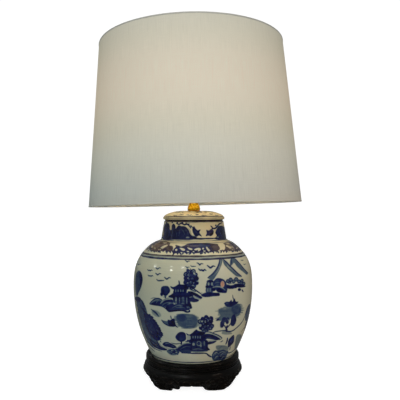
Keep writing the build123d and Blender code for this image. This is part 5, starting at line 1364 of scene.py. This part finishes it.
# ------------------------------------------------------------------ the wooden stand
def make_stand_top(mat):
    prof = [(7.0, 41.0), (60.0, 41.0), (87.2, 41.0), (88.4, 41.05), (89.2, 41.6), (90.1, 42.6), (90.2, 43.4), (89.8, 44.1), (88.9, 44.7), (88.9, 45.0), (90.2, 45.6),
            (90.9, 46.8), (91.0, 48.0), (90.6, 48.9), (89.2, 49.5), (89.2, 49.8), (90.6, 50.4), (91.1, 51.6), (91.0, 53.0), (90.4, 54.4), (89.4, 55.8), (88.5, 56.6),
            (87.6, 57.0), (86.6, 57.0), (85.7, 56.6), (85.0, 55.8), (84.8, 55.0), (84.8, 51.6), (84.2, 51.0), (60.0, 51.0), (7.0, 51.0), (5.8, 50.6), (5.8, 41.4)]
    p = np.array(rows_along(prof, 0.55)[:-1])
    nu = 900
    phi = (np.arange(nu) / nu - 0.5) * 2 * PI
    d = np.r_[0, np.cumsum(np.linalg.norm(np.diff(p, axis=0), axis=1))]
    A, P = np.meshgrid(d, phi, indexing="ij")
    outer = np.clip((p[:, 0] - 84.9) / 2.0, 0, 1)[:, None]
    n = cheap_noise(P, A, 21, 14.0)
    rr = p[:, :1] - 1.0 * np.clip((p[:, :1] - 84.9) / 4.0, 0, 1) + outer * (0.16 * n + 0.10 * np.sin(61 * P + 2 * n) * np.sin(A * 0.8 + 7 * P))
    zz = p[:, 1:] + outer * 0.10 * cheap_noise(P, A, 22, 20.0)
    cx = np.where(p[:, 0] < 8.0, 0.0, BELLY_X - 0.5)
    bead = np.clip((p[:, 0] - 89.6) / 1.2, 0, 1)[:, None]
    wear = np.clip(bead * (0.55 + 0.45 * cheap_noise(P, A, 23, 9.0)) + 0.5 * outer * np.clip(n, 0, 1), 0, 1)
    # the grooves between the beads and the joint under the rim are darkened: partly wax, partly painted shade
    groove = np.zeros(len(p))
    for z in (44.85, 49.65):
        groove = np.maximum(groove, np.exp(-((p[:, 1] - z) / 0.45) ** 2) * outer[:, 0])
    groove = np.maximum(groove, np.exp(-((p[:, 1] - 41.2) / 0.5) ** 2) * outer[:, 0])
    o = sleeve("stand_rim", rr, zz, cx, nu, True, {"wear": wear, "wax_and_shade": np.repeat(groove[:, None], nu, 1)})
    o.data.materials.append(mat)
    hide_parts("stand_top")
    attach(o, "lamp_base")
    return o


SKIRT = smooth_line([(79.6, 1.5), (80.6, 4.0), (82.0, 7.5), (84.2, 11.0), (87.0, 14.6), (91.2, 19.5), (94.4, 24.0), (95.0, 29.0), (94.0, 34.0), (91.8, 38.4), (88.0, 41.0)], 0.3)
SKIRT_D = np.r_[0, np.cumsum(np.linalg.norm(np.diff(SKIRT, axis=0), axis=1))]
# the lower edge from the middle of an arch to the foot: apron, raised lobe, foot on the floor
ARCH = np.array([(0.0, 18.2), (2.0, 16.8), (6.0, 16.3), (13.0, 16.4), (18.6, 15.4), (20.8, 13.6), (21.8, 10.6), (23.4, 8.2), (27.0, 6.9), (32.0, 6.6), (36.4, 7.3), (38.2, 6.4),
                 (39.2, 4.0), (40.4, 2.2), (43.0, 1.5), (99.0, 1.5)])
ARCH_B = np.array([(0.0, 18.2), (2.0, 16.8), (6.0, 16.5), (13.0, 16.1), (18.6, 15.3), (21.4, 12.4), (23.6, 8.8), (25.8, 6.6), (29.5, 4.9), (34.0, 3.6), (40.0, 2.4), (45.0, 1.5), (99.0, 1.5)])
QUARTER = math.radians(90.0)


def arch_height(phi, r):
    """The skirt's lower edge at angle phi, for a face at radius r. Each arch was cut by hand, so its two ends differ."""
    k = np.round(phi / QUARTER)
    x = r * np.sin(phi - k * QUARTER)
    h = np.where(x * np.where(k % 2 == 0, 1, -1) > 0, np.interp(np.abs(x), ARCH_B[:, 0], ARCH_B[:, 1]), np.interp(np.abs(x), ARCH[:, 0], ARCH[:, 1]))
    return h + 0.25 * np.sin(23 * phi + 1.0) * (h > 3)


def make_skirt(mat):
    c = Canvas(SKIRT_D, SKIRT[:, 0], 1600, 0.35)
    carve(c)
    for key in ("d", "w"):
        setattr(c, key, soften(getattr(c, key)))
    nu, nr = 1600, 110
    phi = (np.arange(nu) / nu - 0.5) * 2 * PI
    zs = SKIRT[:, 1]
    zb = arch_height(phi, 84.0)
    k = np.array([1, 2, 1.0])
    zb = np.convolve(np.r_[zb[-1:], zb, zb[:1]], k / k.sum(), "valid")
    t = np.linspace(0, 1, nr)
    Z = zb[None] + (41.0 - zb[None]) * t[:, None]
    P = np.repeat(phi[None], nr, 0)
    A = np.interp(Z, zs, SKIRT_D)
    R = np.interp(Z, zs, SKIRT[:, 0])
    # distance to the lower edge, measured across the face
    edge = np.full_like(Z, 99.0)
    kk = np.round(P / QUARTER)
    X = 84.0 * np.sin(P - kk * QUARTER)
    side = np.where(kk % 2 == 0, 1, -1)
    X = X * side
    px = np.linspace(-46.0, 46.0, 230)
    py = np.where(px > 0, np.interp(np.abs(px), ARCH_B[:, 0], ARCH_B[:, 1]), np.interp(np.abs(px), ARCH[:, 0], ARCH[:, 1]))
    for i in range(len(px)):
        edge = np.minimum(edge, np.hypot(X - px[i], Z - py[i]))
    relief = 2.1 * sample(c.d, c, P, A) - 1.7 * sample(c.w, c, P, A) + 0.9 * np.exp(-((edge - 1.7) / 1.1) ** 2) - 0.7 * np.exp(-((edge - 4.0) / 0.8) ** 2)
    relief -= 1.0 * np.exp(-(edge / 0.5) ** 2)
    noise = cheap_noise(P, A, 31, 9.0)
    fine = cheap_noise(P * 5, A, 32, 3.5)
    relief += 0.14 * noise + 0.10 * fine
    top_fade = np.clip((41.0 - Z) / 2.0, 0, 1)
    R = R + (0.8 * relief - 0.45) * top_fade
    # the feet stand out along the diagonals and are cut flat towards the front and the back
    u = np.degrees(np.abs(P - kk * QUARTER))
    front = (kk % 2 == 0)
    low = np.clip((20.0 - Z) / 13.0, 0, 1)
    toe = np.where(front, np.interp(u, (0, 12, 20, 27, 35, 38, 41, 45), (0.0, -1.2, -2.6, -3.2, -1.5, 1.0, 3.2, 3.8)), np.interp(u, (0, 12, 22, 34, 40, 45), (0.0, 0.6, 1.4, 1.8, 2.8, 3.8)))
    R = R + toe * low
    # the left side was cut back a little more than the right
    R = R - 1.9 * np.exp(-((P + 1.30) / 0.46) ** 2) * np.exp(-((Z - 19.0) / 9.0) ** 2)
    wear = np.clip(0.55 * np.clip(relief, 0, 1.8) + 0.2 * noise + 0.1 * fine, 0, 1)
    # darker where the carving is cut in and at the joint under the rim: painted shade, partly wax
    wax_and_shade = np.clip(-0.9 * relief + 0.9 * np.exp(-((Z - 40.6) / 0.6) ** 2), 0, 1)
    # inner face
    inz = np.linspace(0, 1, 14)[::-1]
    ir = np.array([(76.0, 41.0), (79.0, 30.0), (74.5, 17.0), (64.0, 1.5)])[::-1]
    zbi = arch_height(phi, 76.0)
    zbi = np.convolve(np.r_[zbi[-1:], zbi, zbi[:1]], k / k.sum(), "valid")
    ZI = zbi[None] + (41.0 - zbi[None]) * inz[:, None]
    RI = np.interp(ZI, ir[:, 1], ir[:, 0])
    rr = np.vstack([R, (R[-1] - 1.0)[None], RI, (RI[-1] + 1.0)[None], (R[0] - 0.9)[None]])
    zz = np.vstack([Z, np.full((1, nu), 41.0), ZI, zbi[None], zb[None]])
    zz[0] += 0.4
    z0 = np.zeros((len(rr) - nr, nu))
    # the inner and lower faces get a little of the same darkening: painted shade
    o = sleeve("stand_skirt_carved", rr, zz, BELLY_X - 0.5, nu, True, {"wear": np.vstack([wear, z0]), "wax_and_shade": np.vstack([wax_and_shade, z0 + 0.2])})
    o.data.materials.append(mat)
    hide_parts("stand_skirt")
    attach(o, "lamp_base")
    return o


def carve(c):
    """A shell with scrolls over each foot and a spray over each arch: d stands up, w is cut in."""
    def local(k, half):
        mid = QUARTER * (k + (0.5 if half else 0.0))

        def put(x, y):
            return mid + np.asarray(x, float) / 90.0, np.asarray(y, float)
        return put

    def arc(x, y, r, a0, a1, n=14, squash=1.0):
        t = np.linspace(math.radians(a0), math.radians(a1), n)
        return [(x + r * math.cos(v), y + squash * r * math.sin(v)) for v in t]

    def volute(s, x, y, r, turns, start, width):
        n = 30
        t = np.linspace(0, turns * 2 * PI, n)
        rad = r * (1 - 0.82 * t / t[-1])
        c.line([(s * (x + rad[i] * math.cos(t[i] + start)), y + rad[i] * math.sin(t[i] + start)) for i in range(n)], width, 1.0, taper=(0.6, 1.0), soft=1.0)
        c.dot(*c.put(s * x, y), 1.3, 1.0, soft=0.9)

    for k in range(4):
        c.put, c.k = local(k, True), 1.0
        # the shell that stands on the foot
        for r, w in ((6.0, 2.2), (11.0, 2.3), (16.0, 2.2)):
            c.line(arc(0.0, 2.0, r, 8, 172), w, 1.0, taper=(0.6, 0.6), soft=1.1)
        for r in (8.5, 13.5, 18.4):
            c.line(arc(0.0, 2.0, r, 10, 170), 1.2, 1.0, layer="w", taper=(0.5, 0.5), soft=0.8)
        c.blob(0.0, 2.6, 2.4, 2.4, 0.9, soft=3)
        for s in (-1, 1):
            # fluted lobe beside the foot
            for x in (22.4, 26.2, 30.4, 34.2):
                c.line([(s * x, 8.0), (s * (x + 0.6), 13.0), (s * (x - 0.6), 18.0)], 1.9, 0.85, taper=(0.7, 0.5), soft=1.0)
            for x in (24.4, 28.4, 32.4):
                c.line([(s * x, 7.4), (s * (x + 0.5), 12.4), (s * (x - 0.4), 16.6)], 1.0, 1.0, layer="w", taper=(0.6, 0.4), soft=0.8)
            volute(s, 20.0, 24.0, 6.4, 1.35, 2.4, 2.0)
            volute(s, 34.5, 25.2, 5.6, 1.3, 0.4, 1.8)
            c.line([(s * 14.0, 19.5), (s * 11.0, 25.0), (s * 12.6, 31.0), (s * 19.0, 33.6), (s * 27.0, 32.4), (s * 32.0, 33.4)], 1.9, 0.9, taper=(0.5, 0.4), soft=1.0)
            c.line([(s * 26.0, 20.4), (s * 28.4, 25.0), (s * 27.0, 29.4)], 1.6, 0.8, taper=(0.4, 0.5), soft=0.9)
            c.line([(s * 15.6, 30.0), (s * 22.0, 31.4), (s * 29.0, 30.0)], 0.9, 1.0, layer="w", taper=(0.4, 0.4), soft=0.7)
            c.line([(s * 2.6, 23.0), (s * 5.6, 27.4), (s * 4.4, 32.0), (s * 1.0, 34.6)], 1.7, 0.85, taper=(0.5, 0.5), soft=0.9)
        c.line([(0, 21.5), (0.0, 33.0)], 1.6, 0.8, taper=(0.4, 0.6), soft=1.0)
        c.put = local(k, False)
        for s in (-1, 1):
            c.line([(s * 2.0, 26.0), (s * 5.0, 29.6), (s * 10.0, 30.6), (s * 14.6, 27.6), (s * 13.2, 24.0), (s * 10.0, 24.4), (s * 10.2, 26.8)], 1.9, 0.95, taper=(0.6, 0.8), soft=1.0)
            c.line([(s * 15.0, 22.6), (s * 20.0, 24.6), (s * 25.0, 30.0), (s * 31.0, 33.8)], 1.8, 0.85, taper=(0.5, 0.4), soft=1.0)
            c.line([(s * 3.0, 22.6), (s * 6.4, 25.4), (s * 8.8, 22.8)], 1.4, 0.7, taper=(0.6, 0.4), soft=0.8)
            c.line([(s * 1.0, 33.0), (s * 7.0, 34.6), (s * 15.0, 33.8), (s * 21.0, 30.6)], 1.0, 0.9, layer="w", taper=(0.5, 0.5), soft=0.8)
        c.fill([(0, 22.4), (2.6, 25.6), (2.0, 29.8), (0, 33.0), (-2.0, 29.8), (-2.6, 25.6)], 1.0, soft=3)
        c.line([(0, 24.0), (0, 31.4)], 0.8, 1.0, layer="w", taper=(0.4, 0.4), soft=0.6)
    # turned lines under the rim
    rows = np.arange(c.nv)[:, None] * c.pitch
    top = SKIRT_D[-1] - 2.6
    c.w[:] = np.maximum(c.w, 0.9 * np.exp(-((rows - top) / 0.55) ** 2))
    c.d[:] = np.maximum(c.d, 0.6 * np.exp(-((rows - top - 1.7) / 0.9) ** 2))


# ------------------------------------------------------------------ the shade
Z0, Z1, R0, R1 = 341.6, 646.3, 203.2, 176.3


def shade_r(z):
    return R0 + (R1 - R0) * (np.asarray(z, float) - Z0) / (Z1 - Z0)


def glow_at(phi, z):
    """How strongly the bulb's light comes through at this point of the cloth."""
    return np.interp(z, (342, 362, 395, 424, 471, 510, 541, 580, 631, 646), (0.16, 0.28, 0.46, 0.62, 0.82, 0.95, 1.0, 0.95, 0.78, 0.72)) + 0 * phi


def make_shade(cloth, hem_mat, liner_mat):
    nu, rows = 1400, 260
    phi = (np.arange(nu) / nu - 0.5) * 2 * PI
    z = np.linspace(Z0, Z1, rows)
    ZZ, P = np.meshgrid(z, phi, indexing="ij")
    # the cloth is laminated and nearly flat: faint panels, slubs that stand up, and the overlapped seam behind
    n = cheap_noise(P, ZZ, 41, 260.0)
    rng = np.random.RandomState(5)
    lines = np.convolve(np.r_[rng.randn(nu), np.zeros(2)], [0.25, 0.5, 0.25], "valid")[:nu]
    seam = np.clip((6.0 - np.abs((np.mod(P, 2 * PI) - PI) * shade_r(ZZ))) / 0.6, 0, 1)
    out = shade_r(ZZ) + 0.25 * n + 0.035 * lines[None] + 0.5 * seam
    inn = shade_r(z) - 0.7
    rr = np.vstack([out, np.repeat(inn[::-1, None][::13], nu, 1)])
    zz = np.vstack([ZZ, np.repeat(z[::-1, None][::13], nu, 1)])
    glow = glow_at(P, ZZ) * (1 - 0.30 * seam)
    k = len(rr) - rows
    v = np.r_[np.linspace(0, 0.98, rows), np.linspace(0.98, 1.0, k + 1)[:-1]]
    o = sleeve("shade_cloth", rr, zz, 0.0, nu, True, {"glow": np.vstack([glow, np.zeros((k, nu))])}, None, lean, v)
    o.data.materials.append(cloth)
    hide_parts("shade_cover")
    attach(o, "shade")

    nl = 480
    zl = np.linspace(Z0, Z1, 60)
    P2 = np.repeat(((np.arange(nl) / nl - 0.5) * 2 * PI)[None], 60, 0)
    back = shade_r(zl)[:, None] - 1.6 + 0.06 * cheap_noise(P2, zl[:, None], 44, 200.0)
    rl = np.vstack([np.repeat(shade_r(zl)[:, None] - 0.75, nl, 1), back[::-1]])
    zz = np.vstack([np.repeat(zl[:, None], nl, 1), np.repeat(zl[::-1, None], nl, 1)])
    li = sleeve("shade_lining", rl, zz, 0.0, nl, True, None, 30, lean)
    li.data.materials.append(liner_mat)
    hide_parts("shade_liner")
    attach(li, "shade")

    hems = []
    for name, ze, s, cad in (("hem_bottom", Z0, -1, "shade_bottom_hem"), ("hem_top", Z1, 1, "shade_top_hem")):
        r = float(shade_r(ze))
        ro = lambda zq: float(shade_r(zq))
        nh = 1000
        ph = (np.arange(nh) / nh - 0.5) * 2 * PI
        sec = [(ro(ze - s * 2.2) + 0.1, ze - s * 2.2), (ro(ze - s * 1.2) + 0.5, ze - s * 1.2), (r + 0.55, ze - s * 0.2), (r + 0.2, ze + s * 0.45), (r - 1.2, ze + s * 0.55),
               (r - 4.2, ze + s * 0.5), (r - 5.4, ze + s * 0.2), (ro(ze - s * 2.5) - 5.75, ze - s * 2.5), (ro(ze - s * 6.6) - 5.75, ze - s * 6.6), (ro(ze - s * 7) - 5.3, ze - s * 7.0),
               (ro(ze - s * 2.5) - 5.3, ze - s * 2.5), (r - 5.0, ze - s * 0.3), (r - 1.0, ze - s * 0.02), (r + 0.05, ze - s * 0.1), (ro(ze - s * 2.2) + 0.02, ze - s * 2.2)]
        sec = np.array(sec)
        wav = cheap_noise(ph, 0.0, 47 + s, 30.0) * 0.12
        lump = 0.06 * np.sin(ph * 190 + 3 * np.sin(ph * 9))
        rr = sec[:, :1] + wav[None] * np.linspace(1, 0.3, len(sec))[:, None] + lump[None] * (np.arange(len(sec)) < 6)[:, None]
        zz = sec[:, 1:] + (0.10 * cheap_noise(ph, 0.0, 52 + s, 30.0))[None] * np.ones((len(sec), 1))
        if s < 0:
            rr, zz = rr[::-1], zz[::-1]
        else:
            pass
        h = sleeve(name, rr, zz, 0.0, nh, True, {"glow": np.full((len(sec), nh), 0.16)}, None, lean)
        h.data.materials.append(hem_mat)
        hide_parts(cad)
        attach(h, "shade")
        hems.append(h)
    slant = math.hypot(Z1 - Z0, R0 - R1) * 0.001
    side = slant * R0 / (R0 - R1)
    return o, li, hems

# ------------------------------------------------------------------ put it together
glaze = glaze_material("jar_glaze")
lid_glaze = glaze_material("lid_glaze", True)
wood = wood_material("dark_wood")
make_jar(glaze)
make_lid(lid_glaze)
make_stand_top(wood)
make_skirt(wood)
make_shade(linen_material("linen"), linen_material("linen_tape"), liner_material("liner"))

brass = brass_material("brass_polished")
brass_plate = brass_material("brass_plated", 0.0, (0.24, 0.40), (210, 158, 76))
brass_dark = brass_material("brass_ring", 0.55, (0.30, 0.45), (190, 116, 30))
zinc = steel_material("zinc")
tin = steel_material("aluminium", (208, 208, 204), (0.18, 0.30))
NODE_MATERIALS = {
    "foot_pads": felt_material("felt"),
    "threaded_pipe": zinc, "bottom_washer": zinc, "bottom_nut": steel_material("zinc_nut", (168, 170, 164), (0.26, 0.42)),
    "inlet_bushing": plain_material("bushing", (40, 40, 40), (0.38, 0.55), 420.0),
    "check_ring": brass_dark, "brass_neck": brass,
    "harp_saddle": brass_plate, "harp_wire": brass_plate, "harp_top_plate": brass_plate, "harp_stud": brass_plate,
    "harp_sleeve_left": brass_plate, "harp_sleeve_right": brass_plate,
    "socket_cap": brass, "socket_shell": brass, "socket_set_screw": steel_material("set_screw", (150, 150, 146)),
    "socket_insulator": plain_material("fibre", (112, 84, 56), (0.75, 0.92), 500.0, 0.0003, 0.2),
    "socket_body": plain_material("phenolic", (34, 27, 24), (0.30, 0.45), 500.0),
    "socket_screw_shell": brass_plate, "socket_contact": brass_plate, "terminal_screws": brass,
    "switch_shaft": brass_plate,
    "switch_knob": plain_material("knob", (30, 28, 26), (0.18, 0.30), 700.0, 0.0001, 0.15),
    "bulb_contact": plain_material("bulb_insulator", (34, 30, 36), (0.2, 0.32), 600.0),
    "bulb_cap": tin, "bulb_glass": bulb_material("bulb_frosted"),
    "shade_top_ring": plain_material("ring_paint", (222, 219, 208), (0.35, 0.5), 500.0, 0.0002, 0.06),
    "shade_bottom_ring": plain_material("ring_paint_low", (222, 219, 208), (0.35, 0.5), 500.0, 0.0002, 0.06),
    "spider_arms": brass_material("spider_brass", 0.0, (0.26, 0.42), (206, 156, 78)), "spider_washer": brass_plate,
    "finial": brass,
}
for name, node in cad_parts.items():
    if name in NODE_MATERIALS:
        node.data.materials.clear()
        node.data.materials.append(NODE_MATERIALS[name])
        node.data.polygons.foreach_set("use_smooth", np.ones(len(node.data.polygons), bool))
        node.data.set_sharp_from_angle(angle=math.radians(32))

# ------------------------------------------------------------------ floor, light and camera
def floor():
    n = 60
    xs = np.linspace(-30, 30, n)
    X, Y = np.meshgrid(xs, xs, indexing="xy")
    v = np.stack([X * 1000, Y * 1000, np.full_like(X, -0.2)], -1).reshape(-1, 3)
    i = np.arange(n - 1)
    a = (i[:, None] * n + i[None]).ravel()
    f = np.stack([a, a + 1, a + n + 1, a + n], -1)
    o = mesh_object("floor", v, f)
    m = Mat("floor_paper")
    t = m.noise(m.obj, 40.0, 3.0, 0.6)
    m.finish(m.mix(m.grey(t, 0.0, 1.0, 0.3, 0.7), (0.30, 0.30, 0.30, 1), (0.28, 0.28, 0.28, 1)), m.grey(t, 0.85, 0.95, 0.3, 0.7), m.bump(t, 0.1, 0.0003))
    # overexposed paper: it looks white, and the brightness doesn't light the object from below
    path = m.node("ShaderNodeLightPath").outputs["Is Camera Ray"]
    m.set(m.bsdf.inputs["Emission Color"], (1.0, 1.0, 1.0, 1.0))
    # the painted brightness fades a little towards the lamp: painted shade round its foot, where the real shadow also
    # shows
    far = m.node("ShaderNodeVectorMath", {0: m.obj}, operation="LENGTH").outputs["Value"]
    m.set(m.bsdf.inputs["Emission Strength"], m.math("MULTIPLY", path, m.grey(far, 0.93, 1.0, 0.15, 0.9)))
    o.data.materials.append(m.mat)
    return o


floor()


def area(name, at, aim, size, watts, colour, size_y=None):
    li = bpy.data.lights.new(name, "AREA")
    li.shape = "RECTANGLE"
    li.size = size
    li.size_y = size_y or size
    li.energy = watts
    li.color = colour
    o = bpy.data.objects.new(name, li)
    scene.collection.objects.link(o)
    from mathutils import Vector
    o.location = at
    o.rotation_mode = "QUATERNION"
    o.rotation_quaternion = (Vector(aim) - Vector(at)).to_track_quat("-Z", "Y")
    o.visible_camera = False
    return o


def spot(name, at, aim, half_angle, watts, colour, radius=0.12):
    li = bpy.data.lights.new(name, "SPOT")
    li.energy = watts
    li.color = colour
    li.spot_size = math.radians(2 * half_angle)
    li.spot_blend = 1.0
    li.shadow_soft_size = radius
    o = bpy.data.objects.new(name, li)
    scene.collection.objects.link(o)
    from mathutils import Vector
    o.location = at
    o.rotation_mode = "QUATERNION"
    o.rotation_quaternion = (Vector(aim) - Vector(at)).to_track_quat("-Z", "Y")
    o.visible_camera = False
    return o


big = [area("front_soft", (0.09, -1.35, 0.66), (0, 0, 0.40), 0.5, 5.4, (0.99, 1.0, 1.0)),
       spot("jar_right", (1.95, -1.15, 0.42), (0.02, -0.05, 0.165), 8.0, 55.0, (1.0, 0.81, 0.64)),
       spot("jar_left", (-1.9, -1.25, 0.42), (-0.02, -0.05, 0.165), 8.0, 26.0, (0.76, 0.95, 1.0))]
big.append(area("back_soft", (0.0, 2.3, 1.15), (0, 0, 0.38), 1.1, 13.0, (1.0, 0.98, 0.94)))
for lamp in big:
    lamp.visible_glossy = False        # a large diffuser: no sharp picture of it in the glaze
wood_gloss = area("wood_gloss", (-0.74, -1.95, 1.15), (-0.012, -0.08, 0.038), 0.8, 0.045, (1.0, 0.99, 0.97), 0.07)
wood_gloss.data.spread = math.radians(4.5)          # a narrow beam that only reaches the stand
area("key_left", (-1.9, -1.3, 1.15), (0, 0, 0.34), 1.3, 0.12, (0.30, 0.80, 1.0))
area("fill_right", (2.0, -1.1, 0.95), (0, 0, 0.33), 1.1, 0.95, (1.0, 0.36, 0.14))
area("top_soft", (0.1, 0.2, 2.2), (0, 0, 0.3), 1.6, 2.0, (1.0, 0.99, 0.97))
area("window_left", (-2.35, -0.22, 0.95), (-0.07, -0.09, 0.2), 0.12, 0.5, (0.9, 1.0, 0.98), 1.5)
# small lamps: the glaze shows them as points of light
area("spark_far_left", (-2.11, -0.307, 1.264), (-0.066, -0.087, 0.233), 0.24, 1.7, (1.0, 0.99, 0.96), 0.06)
area("spark_left", (-1.47, -1.523, 1.335), (-0.038, -0.104, 0.228), 0.24, 1.3, (1.0, 0.99, 0.96), 0.05)
area("spark_mid", (-0.672, -1.895, 1.522), (-0.017, -0.108, 0.230), 0.24, 1.6, (1.0, 0.99, 0.96), 0.06)
area("spark_right", (1.927, -1.081, 1.119), (0.051, -0.097, 0.225), 0.30, 1.7, (1.0, 0.92, 0.78), 0.06)


def bulb_light():
    li = bpy.data.lights.new("bulb_light", "POINT")
    li.energy = 1.0
    li.color = (1.0, 0.88, 0.72)
    li.shadow_soft_size = 0.029
    o = bpy.data.objects.new("bulb_light", li)
    o.location = (-0.002, 0.0, 0.468)
    scene.collection.objects.link(o)
    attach(o, "bulb")
    return o


bulb_lamp = bulb_light()
# the lit glass doesn't block its own light
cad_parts["bulb_glass"].visible_shadow = False

world = bpy.data.worlds.new("studio")
scene.world = world
world.use_nodes = True
wt = world.node_tree
wt.nodes.clear()
wout = wt.nodes.new("ShaderNodeOutputWorld")
wmix = wt.nodes.new("ShaderNodeMixShader")
seen = wt.nodes.new("ShaderNodeBackground")
felt_bg = wt.nodes.new("ShaderNodeBackground")
path = wt.nodes.new("ShaderNodeLightPath")
seen.inputs["Color"].default_value = (1.0, 1.0, 1.0, 1)
seen.inputs["Strength"].default_value = 1.05
felt_bg.inputs["Color"].default_value = (0.90, 0.96, 1.0, 1)
felt_bg.inputs["Strength"].default_value = 0.055
wt.links.new(path.outputs["Is Camera Ray"], wmix.inputs[0])
# the room shows a little brighter in the glaze than it lights
mirror_bg = wt.nodes.new("ShaderNodeBackground")
mirror_mix = wt.nodes.new("ShaderNodeMixShader")
mirror_bg.inputs["Color"].default_value = (0.92, 0.97, 1.0, 1)
mirror_bg.inputs["Strength"].default_value = 0.19
wt.links.new(path.outputs["Is Glossy Ray"], mirror_mix.inputs[0])
wt.links.new(felt_bg.outputs[0], mirror_mix.inputs[1])
wt.links.new(mirror_bg.outputs[0], mirror_mix.inputs[2])
wt.links.new(mirror_mix.outputs[0], wmix.inputs[1])
wt.links.new(seen.outputs[0], wmix.inputs[2])
wt.links.new(wmix.outputs[0], wout.inputs["Surface"])

cam_data = bpy.data.cameras.new("camera")
cam = bpy.data.objects.new("camera", cam_data)
scene.collection.objects.link(cam)
cam_data.sensor_width = 36.0
cam_data.lens = 44.01
cam_data.shift_x = 0.0
cam_data.shift_y = 0.0257
cam_data.dof.use_dof = False
cam.location = (0.0120, -0.955, 0.330)
cam.rotation_euler = (math.radians(90), 0, 0)
scene.camera = cam

scene.view_settings.view_transform = "Standard"
scene.view_settings.look = "None"
scene.view_settings.exposure = 0.0
scene.view_settings.gamma = 1.0
